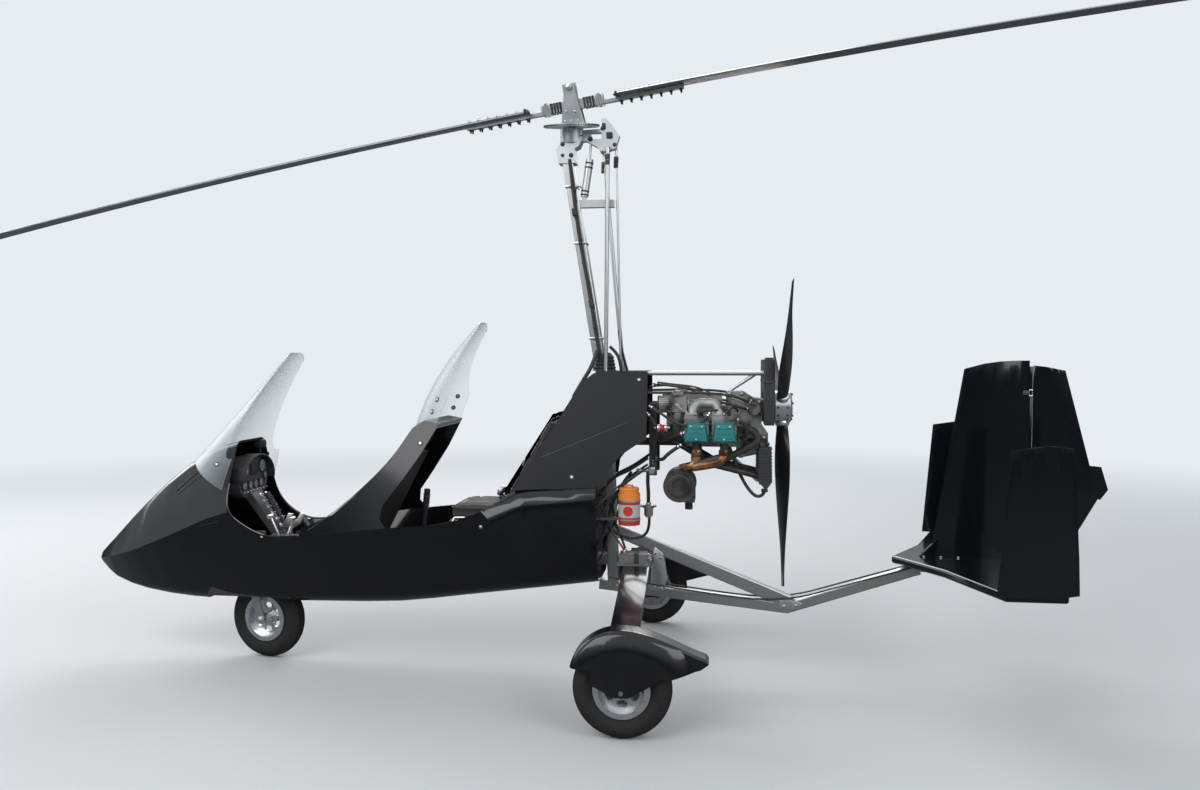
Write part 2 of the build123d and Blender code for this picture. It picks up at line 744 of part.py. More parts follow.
# Mast: an upright foot tube inside the cowling, the leaning tube and two brackets on the firewall
MAST_BRACKETS = (560, 900)
BAR_AFT_X = 223.0
BAR_Z = 2325.0
BAR_DEPTH = 36.0
with BuildPart() as mast:
    add(lower_mast(0))
    add(upper_mast(0))
    for height in MAST_BRACKETS:
        with Locations(((FIREWALL_X + FIREWALL_THICK + FIT + MAST_FOOT[0]) / 2, 0, height)):
            Box(MAST_FOOT[0] - FIREWALL_X - FIREWALL_THICK - FIT, MAST_WIDTH - 4, 50)
    with Locations(((BAR_AFT_X + 30) / 2, 0, BAR_Z)):
        Box(BAR_AFT_X - 30, 40, BAR_DEPTH)
    add(flat_bar(KEEL_FORE, KEEL_KNEE, 200, KEEL_DEPTH + 2 * FIT), mode=Mode.SUBTRACT)
    with Locations((220, 0, 360)):
        Box(200, 200, 120, mode=Mode.SUBTRACT)
label_and_write(mast.part, "mast")

# Saddle that carries the gear bow on the keel
with BuildPart() as bow_saddle:
    with Locations((MAIN_AXLE_X, 0, 470)):
        Box(90, 64, 2 * (BOW_ROOT_Z - FIT - 470))
    add(flat_bar(KEEL_FORE, KEEL_KNEE, 200, KEEL_DEPTH + 2 * FIT), mode=Mode.SUBTRACT)
    with Locations((MAIN_AXLE_X, 0, 380)):
        Box(200, 200, 80, mode=Mode.SUBTRACT)
label_and_write(bow_saddle.part, "bow_saddle")

# Rotor head: cap on the mast, bearing housing that leans to port, spindle and the torque plate aft of it
head_turn = Location((HEAD_X, 0, HEAD_PIVOT_Z)) * Rotation(HEAD_ROLL, 0, 0)
RING_DROP = 174.0
RING_THICK = 12.0
RING_RADIUS = 136.0
RING_GAP = 6.0
PLATE_HALF = 22.0
PLATE_PIN_RADIUS = 7.0
ring_base = TEETER_RISE - RING_DROP - RING_THICK
with BuildPart() as head_housing:
    with Locations((0, 0, ring_base - RING_GAP)):
        Cylinder(58, 66, align=(Align.CENTER, Align.CENTER, Align.MAX))
    with Locations((0, 0, ring_base - RING_GAP - 20)):
        spindle_length = 20 + RING_GAP + RING_THICK + 10
        Cylinder(SPINDLE_RADIUS, spindle_length, align=(Align.CENTER, Align.CENTER, Align.MIN))
# columns: X and Z of the rod's foot, X and Z of its top, radius, offset from the middle plane
RODS = (
    (186, 1500 + FIT, 195, 2590, 10, -52),
    (262, 1500 + FIT, 163, 2570, 10, 52),
    (255, 1500 + FIT, 231, 2585, 6, 0),
)
with BuildPart() as rotor_head:
    with BuildSketch(Plane.XZ.offset(-MAST_WIDTH / 2 - 6)):
        with BuildLine():
            Polyline(
                (-52, 2522),
                (-64, 2594),
                (-46, 2612),
                (-40, 2650),
                (70, 2650),
                (50, 2604),
                (30, 2594),
                (38, 2522),
                close=True,
            )
        make_face()
    extrude(amount=MAST_WIDTH + 12)
    with BuildSketch(Plane.XZ.offset(-PLATE_HALF)):
        with BuildLine():
            Polyline(
                (0, 2625),
                (84, 2632),
                (140, 2600),
                (154, 2576),
                (196, 2582),
                (229, 2592),
                (249, 2653),
                (212, 2705),
                (183, 2738),
                (160, 2738),
                (160, 2688),
                (0, 2682),
                close=True,
            )
        make_face()
        with Locations((135, 2655)):
            Rectangle(52, 34, mode=Mode.SUBTRACT)
    extrude(amount=2 * PLATE_HALF)
    for foot_x, foot_z, top_x, top_z, radius, offset_y in RODS:
        with Locations(Location((top_x, 0, top_z + PLATE_PIN_RADIUS + FIT), (90, 0, 0))):
            Cylinder(PLATE_PIN_RADIUS, 2 * (abs(offset_y) + radius))
    add(head_turn * head_housing.part)
    add(upper_mast(FIT), mode=Mode.SUBTRACT)
label_and_write(rotor_head.part, "rotor_head")

# Push rods from the torque plate down to the cowling
with BuildPart() as control_rods:
    for foot_x, foot_z, top_x, top_z, radius, offset_y in RODS:
        add(round_tube((foot_x, offset_y, foot_z), (top_x, offset_y, top_z), radius))
label_and_write(control_rods.part, "control_rods")

# Trim cylinder between the mast's bar and the torque plate
with BuildPart() as trim_cylinder:
    add(round_tube((73, 0, 2362), (100, 0, 2545), 19))
    add(round_tube((100, 0, 2540), (105, 0, 2614), 6))
    with Locations((72, 0, BAR_Z + BAR_DEPTH / 2 + FIT)):
        Box(20, 20, 24, align=(Align.CENTER, Align.CENTER, Align.MIN))
label_and_write(trim_cylinder.part, "trim_cylinder")

# Turning part of the head: ring gear and the two cheeks that hold the teeter bolt
CHEEK_GAP_HALF = 43.0
CHEEK_THICK = 14.0
TEETER_BOLT_RADIUS = 10.0
with BuildPart() as tower_upright:
    with Locations((0, 0, ring_base)):
        Cylinder(RING_RADIUS, RING_THICK, align=(Align.CENTER, Align.CENTER, Align.MIN))
        Cylinder(SPINDLE_RADIUS + RUNNING_FIT, 4 * RING_THICK, mode=Mode.SUBTRACT)
    for cheek_y in (CHEEK_GAP_HALF, -CHEEK_GAP_HALF - CHEEK_THICK):
        with BuildSketch(Plane.XZ.offset(-cheek_y)):
            with BuildLine():
                Polyline(
                    (-41, TEETER_RISE - RING_DROP),
                    (-22, TEETER_RISE + 16),
                    (21, TEETER_RISE + 16),
                    (70, TEETER_RISE - RING_DROP),
                    close=True,
                )
            make_face()
            with Locations((0, TEETER_RISE)):
                Circle(TEETER_BOLT_RADIUS + RUNNING_FIT, mode=Mode.SUBTRACT)
        extrude(amount=-CHEEK_THICK)
label_and_write(head_turn * tower_upright.part, "rotor_tower")

# Teetering rotor: hub bar, bolt and blades, tilted to its rest angle
teeter_turn = head_turn * Location((0, 0, TEETER_RISE)) * Rotation(0, -ROTOR_TEETER_REST, 0)
HUB_BAR_HALF = 546.0
HUB_BAR_DROP = 96.0
HUB_BAR_THICK = 16.0
HUB_BLOCK_HALF = 158.0
HUB_BLOCK_THICK = 44.0
GRIP_CLAMP_X = 132.0
with BuildPart() as hub_level:
    with Locations((0, 0, -HUB_BAR_DROP)):
        Box(2 * HUB_BAR_HALF, 76, HUB_BAR_THICK)
    with Locations((0, 0, -HUB_BAR_DROP - HUB_BAR_THICK / 2)):
        Box(2 * HUB_BLOCK_HALF, 70, HUB_BLOCK_THICK, align=(Align.CENTER, Align.CENTER, Align.MIN))
    with Locations((0, 0, -HUB_BAR_DROP / 2 + 6)):
        Box(70, 70, HUB_BAR_DROP + 24)
    with Locations(Location((0, 0, 0), (90, 0, 0))):
        Cylinder(TEETER_BOLT_RADIUS, 2 * (CHEEK_GAP_HALF + CHEEK_THICK + 8))
    for side in (-1, 1):
        with Locations((side * GRIP_CLAMP_X, 0, -HUB_BAR_DROP + HUB_BLOCK_THICK / 2 - HUB_BAR_THICK / 2)):
            Box(16, 84, HUB_BLOCK_THICK + 16)
label_and_write(teeter_turn * hub_level.part, "rotor_hub_bar")

droop_radius = (ROTOR_RADIUS - BLADE_ROOT) / math.radians(BLADE_DROOP_ANGLE)
with BuildPart() as blade_level:
    with BuildSketch(Plane.YZ.offset(BLADE_ROOT)):
        with BuildLine():
            nose = ThreePointArc(
                (BLADE_CHORD * 0.26, -BLADE_THICK * 0.38),
                (BLADE_CHORD * 0.3, 0),
                (BLADE_CHORD * 0.25, BLADE_THICK * 0.4),
            )
            back = ThreePointArc(nose @ 1, (0, BLADE_THICK * 0.6), (-BLADE_CHORD * 0.7, 1))
            Polyline(back @ 1, (-BLADE_CHORD * 0.7, -1), nose @ 0)
        make_face()
    revolve(axis=Axis((BLADE_ROOT, 0, -droop_radius), (0, 1, 0)), revolution_arc=BLADE_DROOP_ANGLE)
blade_lift = Location((0, 0, -HUB_BAR_DROP + HUB_BAR_THICK / 2 + BLADE_THICK * 0.38 + 2 * FIT))
label_and_write(teeter_turn * blade_lift * blade_level.part, "rotor_blade_aft")
label_and_write(teeter_turn * Rotation(0, 0, 180) * blade_lift * blade_level.part, "rotor_blade_fore")

# Engine: crankcase, finned cylinders, heads, air box above and the flywheel housing at its front
FIN_RADIUS = 60.0
FIN_PITCH = 14.0
FIN_COUNT = 6
with BuildPart() as engine_block:
    with Locations((CRANKCASE_AFT_X, 0, CRANK_HEIGHT)):
        Box(250, 190, 200, align=(Align.MAX, Align.CENTER, Align.CENTER))
    for station in CYLINDER_STATIONS:
        with Locations(Location((station, 0, CRANK_HEIGHT), (90, 0, 0))):
            Cylinder(CYLINDER_RADIUS, 2 * HEAD_INNER_Y)
        for side in (-1, 1):
            for index in range(FIN_COUNT):
                fin_y = side * (HEAD_INNER_Y - 8 - index * FIN_PITCH)
                with Locations(Location((station, fin_y, CRANK_HEIGHT), (90, 0, 0))):
                    Cylinder(FIN_RADIUS, 4)
            with Locations((station, side * (HEAD_INNER_Y + HEAD_OUTER_Y) / 2, CRANK_HEIGHT)):
                Box(112, HEAD_OUTER_Y - HEAD_INNER_Y, 116)
    for drum_x, drum_radius, drum_length in ((548, 96, 54), (505, 58, 40)):
        with Locations(Location((drum_x, 0, CRANK_HEIGHT), (0, 90, 0))):
            Cylinder(drum_radius, drum_length)
    with Locations((640, 0, 1362)):
        Box(230, 120, 60)
    with Locations((505, 0, 1330)):
        Box(90, 90, 44)
        with Locations((0, 0, -40)):
            Box(40, 60, 60)
    with Locations((540, 0, 1355)):
        Box(120, 60, 20)
label_and_write(engine_block.part, "engine_block")

# Intake tubes: one arch per side from head to head, with a carburettor at its fore end
INTAKE_RADIUS = 24.0
with BuildPart() as intake_tubes:
    for side in (-1, 1):
        arch = (
            (CYLINDER_STATIONS[0] - 18, side * 226, CRANK_HEIGHT + 58 + FIT),
            (CYLINDER_STATIONS[0] - 18, side * 200, 1350),
            (CYLINDER_STATIONS[1] - 36, side * 200, 1350),
            (CYLINDER_STATIONS[1] - 20, side * 226, CRANK_HEIGHT + 58 + FIT),
        )
        add(bent_pipe(arch, 38, INTAKE_RADIUS))
        with Locations((546, side * 195, 1345)):
            Box(86, 62, 72)
        with Locations(Location((598, side * 200, 1348), (0, 90, 0))):
            Cylinder(INTAKE_RADIUS - 5, 70)
        with Locations(Location((484, side * 195, 1345), (0, 90, 0))):
            Cylinder(40, 60)
    add(engine_block.part, mode=Mode.SUBTRACT)
label_and_write(intake_tubes.part, "intake_tubes")

# Engine mount: a plate on the mast, four tubes to the crankcase, posts and a cradle tube each side
CRADLE_Y = 125.0
CRADLE_RADIUS = 14.0
COOLER_FORE_X = 928.0
CRADLE_LINE = ((424, 1225), (718, 1050), (COOLER_FORE_X - FIT, 1000))
with BuildPart() as engine_mount:
    with Locations((270, 0, 1240)):
        Box(10, 200, 260)
    for side in (-1, 1):
        for height in (1150, 1320):
            add(round_tube((270, side * 80, height), (575 - FIT, side * 80, height), 12))
        with Locations((424, side * 108, (996 + 1345) / 2)):
            Box(36, 44, 1345 - 996)
        add(bent_pipe([(x, side * CRADLE_Y, z) for x, z in CRADLE_LINE], 60, CRADLE_RADIUS))
    with Locations((225, 0, 1240)):
        Box(90, 60, 60)
    add(lower_mast(FIT), mode=Mode.SUBTRACT)
    with Locations((120, 0, 1240)):
        Box(100, 200, 100, mode=Mode.SUBTRACT)
    with Locations((COOLER_FORE_X - FIT, 0, 1000)):
        Box(60, 400, 100, align=(Align.MIN, Align.CENTER, Align.CENTER), mode=Mode.SUBTRACT)
    add(engine_block.part, mode=Mode.SUBTRACT)
label_and_write(engine_mount.part, "engine_mount")

# Oil cooler across the ends of the cradle tubes
with BuildPart() as oil_cooler:
    with BuildSketch(Plane.XZ.offset(-165)):
        with BuildLine():
            Polyline(
                (COOLER_FORE_X, 1128),
                (COOLER_FORE_X + 60, 1133),
                (COOLER_FORE_X + 64, 975),
                (COOLER_FORE_X + 36, 937),
                (COOLER_FORE_X, 975),
                close=True,
            )
        make_face()
    extrude(amount=330)
    with Locations((960, 0, 1000)):
        Box(200, 150, 300, mode=Mode.SUBTRACT)
    with Locations((COOLER_FORE_X + 20, 0, 985)):
        Box(20, 180, 20)
label_and_write(oil_cooler.part, "oil_cooler")

# Coolant hose that loops under the heads on the port side
with BuildPart() as coolant_hose:
    hose_line = (
        (836, -150, 1222),
        (900, -150, 1222),
        (936, -150, 1170),
        (790, -160, 1092),
        (660, -160, 1075),
    )
    add(bent_pipe(hose_line, 28, 17))
    with Locations((834, -(72 + FIT), 1222)):
        Box(30, 100, 30, align=(Align.CENTER, Align.MAX, Align.CENTER))
    add(engine_block.part, mode=Mode.SUBTRACT)
    with Locations((640, -160, 1085)):
        Box(60, 44, 50)
    with Locations((640, -120, 1120)):
        Box(40, 80, 30 - 2 * FIT)
    add(engine_mount.part, mode=Mode.SUBTRACT)
label_and_write(coolant_hose.part, "coolant_hose")

COVER_LOW_Z = CRANK_HEIGHT - 64
COVER_HEIGHT = 96.0
with BuildPart() as valve_covers:
    for station in CYLINDER_STATIONS:
        for side in (-1, 1):
            with BuildSketch(Plane.XZ.offset(-side * (HEAD_OUTER_Y + FIT))):
                with Locations((station, COVER_LOW_Z)):
                    Trapezoid(116, COVER_HEIGHT, 82, align=(Align.CENTER, Align.MIN))
            extrude(amount=-side * (COVER_OUTER_Y - HEAD_OUTER_Y), taper=12)
label_and_write(valve_covers.part, "valve_covers")

# Reduction gearbox: a leaning casting behind the crankcase with the propeller shaft at its top
GEARBOX_SIDE = (
    (774, CRANK_HEIGHT + 100 + FIT),
    (774, 1402),
    (857, 1402),
    (904, 1372),
    (GEARBOX_AFT_X, 1366),
    (GEARBOX_AFT_X, 1243),
    (976, 1200),
    (976, 1159),
    (923, 1099),
    (841, 1080),
    (CRANKCASE_AFT_X + FIT, 1090),
    (CRANKCASE_AFT_X + FIT, CRANK_HEIGHT + 100 + FIT),
)
with BuildPart() as gearbox:
    add(side_prism(GEARBOX_SIDE, 72))
    for side in (-1, 1):
        with Locations(Location((GEARBOX_AFT_X - 36, side * 84, 1320), (90, 0, 0))):
            Cylinder(33, 28)
    with BuildSketch(Plane.YZ.offset(GEARBOX_AFT_X)):
        with Locations((0, PROP_HEIGHT)):
            Circle(40)
    extrude(amount=PROP_X - PROP_HUB_LENGTH / 2 - 6 - GEARBOX_AFT_X)
    with BuildSketch(Plane.YZ.offset(GEARBOX_AFT_X)):
        with Locations((0, PROP_HEIGHT)):
            Circle(SHAFT_RADIUS)
    extrude(amount=PROP_X - GEARBOX_AFT_X)
label_and_write(gearbox.part, "gearbox")

with BuildPart() as radiator:
    with Locations((975, 0, 1401)):
        Box(44, 420, 306)
    with Locations((975, 0, 1310)):
        Box(60, 130, 170, mode=Mode.SUBTRACT)
    for side in (-1, 1):
        with Locations((GEARBOX_AFT_X + FIT, side * 72, 1330)):
            Box(975 - GEARBOX_AFT_X - FIT, 30, 60, align=(Align.MIN, Align.CENTER, Align.CENTER))
label_and_write(radiator.part, "radiator")

with BuildPart() as top_tubes:
    for side in (-1, 1):
        add(round_tube((400 + FIT, side * 120, 1490), (975 - 22 - FIT, side * 120, 1490), 10))
        add(round_tube((915, side * 120, 1486), (800, side * 60, 1402 + 6 + FIT), 6))
label_and_write(top_tubes.part, "top_tubes")

with BuildPart() as muffler:
    with Locations(Location((558, -170, 962), (90, 0, 0))):
        Cylinder(76, 170)
    with Locations((558, -170, 886)):
        Box(72, 170, 40, align=(Align.MIN, Align.CENTER, Align.MIN))
label_and_write(muffler.part, "muffler")

with BuildPart() as exhaust:
    for station in CYLINDER_STATIONS:
        add(round_tube((station, -226, CRANK_HEIGHT - 58 - FIT), (station, -226, 1090), 19))
    add(round_tube((CYLINDER_STATIONS[1], -226, 1100), (558, -226, 1042), 19))
    with Locations(Location((558, -170, 962), (90, 0, 0))):
        Cylinder(76 + FIT, 170, mode=Mode.SUBTRACT)
label_and_write(exhaust.part, "exhaust")

# Overflow canister behind the hull, on a bracket from the firewall
CANISTER_X = 320.0
CANISTER_Y = -235.0
with BuildPart() as canister:
    with Locations((CANISTER_X, CANISTER_Y, 774)):
        Cylinder(52, 150, align=(Align.CENTER, Align.CENTER, Align.MIN))
    with Locations((CANISTER_X, CANISTER_Y, 924)):
        Cylinder(46, 16, align=(Align.CENTER, Align.CENTER, Align.MIN))
    with Locations((FIREWALL_X + FIREWALL_THICK + FIT, CANISTER_Y, 800)):
        Box(CANISTER_X - FIREWALL_X - FIREWALL_THICK, 40, 12, align=(Align.MIN, Align.CENTER, Align.CENTER))
label_and_write(canister.part, "canister")

# Battery on the gear bow's top
with BuildPart() as battery:
    with Locations((332, -140, BOW_ROOT_Z + BOW_THICK + FIT)):
        Box(150, 150, 6, align=(Align.CENTER, Align.CENTER, Align.MIN))
        with Locations((0, 0, 6)):
            Box(132, 96, 44, align=(Align.CENTER, Align.CENTER, Align.MIN))
label_and_write(battery.part, "battery")

# Control sticks with their grips, on the tub's floor
# columns: foot X and Z, elbow X and Z, grip X and Z
STICKS = (
    (-1420, WELL_TOP + FIT + 10, -1480, 640, -1602, 846),
    (-735, 375, -760, 700, -742, 880),
)
with BuildPart() as control_sticks:
    for foot_x, foot_z, elbow_x, elbow_z, grip_x, grip_z in STICKS:
        add(bent_pipe(((foot_x, 0, foot_z), (elbow_x, 0, elbow_z), (grip_x, 0, grip_z)), 60, 11))
        grip_start = Vector(grip_x, 0, grip_z)
        grip_run = (Vector(elbow_x, 0, elbow_z) - grip_start).normalized() * 100
        add(round_tube(grip_start, grip_start + grip_run, 15))
        with Locations((foot_x, 0, foot_z)):
            Box(64, 80, 20)
    add(hull_solid(1, SHELL_WALL + FIT), mode=Mode.INTERSECT)
label_and_write(control_sticks.part, "control_sticks")

# Propeller: hub and blades, turned to the rest angle about the shaft
with BuildPart() as propeller_hub:
    with BuildSketch(Plane.YZ.offset(PROP_X - PROP_HUB_LENGTH / 2)):
        with Locations((0, PROP_HEIGHT)):
            Circle(PROP_HUB_RADIUS)
    extrude(amount=PROP_HUB_LENGTH)
    with BuildSketch(Plane.YZ.offset(PROP_X - PROP_HUB_LENGTH / 2)):
        with Locations((0, PROP_HEIGHT)):
            Circle(SHAFT_RADIUS + RUNNING_FIT)
    extrude(amount=PROP_HUB_LENGTH / 2 + FIT, mode=Mode.SUBTRACT)
label_and_write(propeller_hub.part, "propeller_hub")


def prop_section(radius, chord, thick, twist):
    """Lens-shaped blade section at a radius, turned by its twist."""
    turn = math.radians(twist)
    plane = Plane(origin=(0, 0, radius), x_dir=(math.sin(turn), math.cos(turn), 0), z_dir=(0, 0, 1))
    with BuildSketch(plane) as section:
        with BuildLine():
            ThreePointArc((-chord / 2, 0), (0, thick / 2), (chord / 2, 0))
            ThreePointArc((-chord / 2, 0), (0, -thick / 2), (chord / 2, 0))
        make_face()
    return section.sketch


# columns: radius, chord, thickness, twist from the disc's plane
PROP_STATIONS = (
    (PROP_HUB_RADIUS + FIT, 60, 44, 50),
    (240, 110, 26, 38),
    (520, 105, 16, 24),
    (PROP_RADIUS, 46, 8, 15),
)
with BuildPart() as prop_blade:
    loft([prop_section(*row) for row in PROP_STATIONS])
with BuildPart() as propeller_blades:
    for index in range(PROP_BLADES):
        angle = PROP_REST_ANGLE + index * 360 / PROP_BLADES
        turn = Location((PROP_X, 0, PROP_HEIGHT)) * Rotation(angle, 0, 0)
        add(turn * prop_blade.part)
label_and_write(propeller_blades.part, "propeller_blades")


# Tail surfaces
def fin_section(height, front_x, rear_x, thick):
    """Level lens-shaped section of an upright fin on the middle plane."""
    with BuildSketch(Plane.XY.offset(height)) as section:
        with BuildLine():
            deepest = front_x + (rear_x - front_x) * 0.35
            ThreePointArc((front_x, 0), (deepest, thick / 2), (rear_x, 3))
            Line((rear_x, 3), (rear_x, -3))
            ThreePointArc((rear_x, -3), (deepest, -thick / 2), (front_x, 0))
        make_face()
    return section.sketch


def upright_fin(rows):
    """Loft of level sections; columns: Z, front X, rear X, thickness."""
    with BuildPart() as fin:
        loft([fin_section(*row) for row in rows], ruled=True)
    return fin.part


with BuildPart() as stabiliser:
    with BuildSketch(Plane.XY.offset(STABILISER_Z - STABILISER_THICK / 2)):
        with BuildLine():
            Polyline(
                (1571, 0),
                (1750, -300),
                (1900, -FIN_HALF_SPAN + FIN_THICK / 2 + FIT),
                (2150, -FIN_HALF_SPAN + FIN_THICK / 2 + FIT),
                (2150, FIN_HALF_SPAN - FIN_THICK / 2 - FIT),
                (1900, FIN_HALF_SPAN - FIN_THICK / 2 - FIT),
                (1750, 300),
                close=True,
            )
        make_face()
    extrude(amount=STABILISER_THICK)
label_and_write(stabiliser.part, "stabiliser")

OUTER_FIN = (
    (598, 1862, 2181, 30),
    (760, 1876, 2176, 30),
    (1212, 1915, 2150, 22),
)
with BuildPart() as fin_left:
    add(Location((0, -FIN_HALF_SPAN, 0)) * upright_fin(OUTER_FIN))
label_and_write(fin_left.part, "fin_left")
label_and_write(mirrored(fin_left.part), "fin_right")

CENTRE_FIN = (
    (STABILISER_Z + STABILISER_THICK / 2 + FIT, 1750, RUDDER_HINGE_X - RUDDER_GAP, 44),
    (1552, 1905, RUDDER_HINGE_X - RUDDER_GAP, 26),
)
FIN_ROOT = (
    (1700, CENTRE_FIN[0][0]),
    (1775, CENTRE_FIN[0][0]),
    (1790, 700),
)
with BuildPart() as centre_fin:
    add(upright_fin(CENTRE_FIN))
    add(side_prism(FIN_ROOT, 13))
    for height in HINGE_HEIGHTS:
        with BuildSketch(Plane.XY.offset(height - HINGE_LUG_THICK / 2)):
            with Locations((RUDDER_HINGE_X, 0)):
                Circle(HINGE_LUG)
            with Locations((RUDDER_HINGE_X - RUDDER_GAP / 2 - 2, 0)):
                Rectangle(RUDDER_GAP + 4, 2 * HINGE_LUG)
            with Locations((RUDDER_HINGE_X, 0)):
                Circle(HINGE_PIN_RADIUS + RUNNING_FIT, mode=Mode.SUBTRACT)
        extrude(amount=HINGE_LUG_THICK)
label_and_write(centre_fin.part, "centre_fin")

RUDDER = (
    (690, RUDDER_HINGE_X + RUDDER_GAP, 2395, 34),
    (905, RUDDER_HINGE_X + RUDDER_GAP, 2515, 36),
    (1070, RUDDER_HINGE_X + RUDDER_GAP, 2470, 36),
    (1530, RUDDER_HINGE_X + RUDDER_GAP, 2350, 26),
)
with BuildPart() as rudder:
    add(upright_fin(RUDDER))
    for height in HINGE_HEIGHTS:
        for side in (-1, 1):
            ear_z = height + side * (HINGE_LUG_THICK + FIT) - HINGE_LUG_THICK / 2
            with BuildSketch(Plane.XY.offset(ear_z)):
                with Locations((RUDDER_HINGE_X, 0)):
                    Circle(HINGE_LUG)
                with Locations((RUDDER_HINGE_X + RUDDER_GAP / 2 + 6, 0)):
                    Rectangle(RUDDER_GAP + 12, 2 * HINGE_LUG)
            extrude(amount=HINGE_LUG_THICK)
        with Locations((RUDDER_HINGE_X, 0, height)):
            Cylinder(HINGE_PIN_RADIUS, 3 * HINGE_LUG_THICK)
    with BuildSketch(Plane.XZ.offset(-2)):
        with BuildLine():
            Polyline(
                (2440, 1060),
                (2525, 1052),
                (2558, 944),
                (2523, 896),
                (2480, 910),
                close=True,
            )
        make_face()
    extrude(amount=4)
label_and_write(rudder.part, "rudder")
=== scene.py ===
# %% [markdown]
# # Dressing an open two-seat gyrocopter
# The solids of the hull, mast, engine, rotor and tail come finished from CAD, in metres, with X
# aft, Y to starboard and Z up. They could be modelled again here, but then joints and sizes would
# drift apart, so they stay as a fixed frame and this file adds what a CAD solid lacks: finishes,
# padding, tread, bolts, hoses and wiring. Each piece rides on the body that carries it.

# %% Load the frame
import json
import math

import bmesh
import bpy
from mathutils import Matrix, Vector
from mathutils.bvhtree import BVHTree

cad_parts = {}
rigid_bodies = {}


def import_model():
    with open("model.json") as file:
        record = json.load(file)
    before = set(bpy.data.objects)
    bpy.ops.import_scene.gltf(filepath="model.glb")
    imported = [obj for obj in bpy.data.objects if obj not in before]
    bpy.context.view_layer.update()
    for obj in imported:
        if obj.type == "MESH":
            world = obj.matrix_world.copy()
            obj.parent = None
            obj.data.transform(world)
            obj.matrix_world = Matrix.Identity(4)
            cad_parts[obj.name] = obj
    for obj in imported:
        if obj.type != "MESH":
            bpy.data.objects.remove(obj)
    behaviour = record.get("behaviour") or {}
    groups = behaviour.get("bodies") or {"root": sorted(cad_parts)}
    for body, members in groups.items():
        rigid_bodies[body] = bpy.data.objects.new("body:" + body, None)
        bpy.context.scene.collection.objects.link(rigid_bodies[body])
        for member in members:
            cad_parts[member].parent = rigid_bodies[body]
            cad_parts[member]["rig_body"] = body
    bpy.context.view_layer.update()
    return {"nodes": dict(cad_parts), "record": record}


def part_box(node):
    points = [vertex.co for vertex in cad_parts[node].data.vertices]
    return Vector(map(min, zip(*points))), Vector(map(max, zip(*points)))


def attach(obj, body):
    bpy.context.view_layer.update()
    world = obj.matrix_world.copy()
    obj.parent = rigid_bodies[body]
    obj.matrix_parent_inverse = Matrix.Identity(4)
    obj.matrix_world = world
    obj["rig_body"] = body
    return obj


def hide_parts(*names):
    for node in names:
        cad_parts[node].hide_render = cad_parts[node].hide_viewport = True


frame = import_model()

# %% [markdown]
# The camera stands where the photographer stood, at eye height on the left of the craft, slightly
# turned towards the nose. Its place was worked out from the horizon and the wheels, because a
# camera placed by eye makes every proportion look wrong.

# %% Camera
SENSOR_WIDTH = 36.0
PICTURE_WIDTH = 1200.0
FOCAL_PIXELS = 970.0
CAMERA_PLACE = (0.74927, -4.8, 1.578)
CAMERA_PITCH, CAMERA_HEADING = math.radians(87.64), math.radians(7.11)
bpy.ops.object.camera_add(location=CAMERA_PLACE, rotation=(CAMERA_PITCH, 0, CAMERA_HEADING))
camera = bpy.context.object
camera.data.sensor_width = SENSOR_WIDTH
camera.data.lens = FOCAL_PIXELS / PICTURE_WIDTH * SENSOR_WIDTH
bpy.context.scene.camera = camera
print("lens of", round(camera.data.lens, 1), "mm")

# %% [markdown]
# A finish is a small graph of nodes. Wiring each node by hand takes three lines, so one class
# wraps a socket and lets Python's own signs add the Math nodes: `1 - mask * 0.5` reads like the
# sum that it is. A second class holds a tree and has one method that makes any node in it, and a
# third is one material with its Principled shader and the patterns that finishes share.

# %% Shader maths
class Signal:
    """A shader socket that arithmetic works on; each sign adds one Math node."""

    def __init__(self, graph, socket):
        self.graph = graph
        self.socket = socket

    def __add__(self, other):
        return self.graph.math("ADD", self, other)

    def __mul__(self, other):
        return self.graph.math("MULTIPLY", self, other)

    def __rsub__(self, other):
        return self.graph.math("SUBTRACT", other, self)

    def __lt__(self, limit):
        return self.graph.math("LESS_THAN", self, limit)

    def __gt__(self, limit):
        return self.graph.math("GREATER_THAN", self, limit)

    __radd__ = __add__
    __rmul__ = __mul__


class Graph:
    """A tree of shader nodes."""

    def __init__(self, tree):
        self.tree = tree

    def node(self, kind, settings, sockets, output=0):
        """Any node: its settings first, a ramp's stops among them, then its sockets' values or links."""
        made = self.tree.nodes.new(kind)
        for setting, value in settings.items():
            if setting != "stops":
                setattr(made, setting, value)
                continue
            ramp = made.color_ramp.elements
            ramp.remove(ramp[1])
            ramp[0].position = value[0][0]
            ramp[0].color = (*value[0][1], 1)
            for position, shade in value[1:]:
                ramp.new(position).color = (*shade, 1)
        for key, value in sockets.items():
            self.set(made, key, value)
        return Signal(self, made.outputs[output])

    def set(self, made, key, value):
        """Give one socket of a node a link or a plain value."""
        if isinstance(value, Signal):
            self.tree.links.new(value.socket, made.inputs[key])
        else:
            made.inputs[key].default_value = value

    def math(self, operation, first, second):
        return self.node("ShaderNodeMath", {"operation": operation}, {0: first, 1: second})

    def fade(self, value, start, end, smooth=True):
        """Rise from 0 at one value to 1 at another."""
        settings = {"interpolation_type": "SMOOTHSTEP"} if smooth else {}
        sockets = {"Value": value, "From Min": start, "From Max": end}
        return self.node("ShaderNodeMapRange", settings, sockets)

    def rays(self):
        """Which rays look: the camera's, a mirror's, and those through clear plastic."""
        kinds = ("Is Camera Ray", "Is Glossy Ray", "Is Transmission Ray")
        return [self.node("ShaderNodeLightPath", {}, {}, output=kind) for kind in kinds]


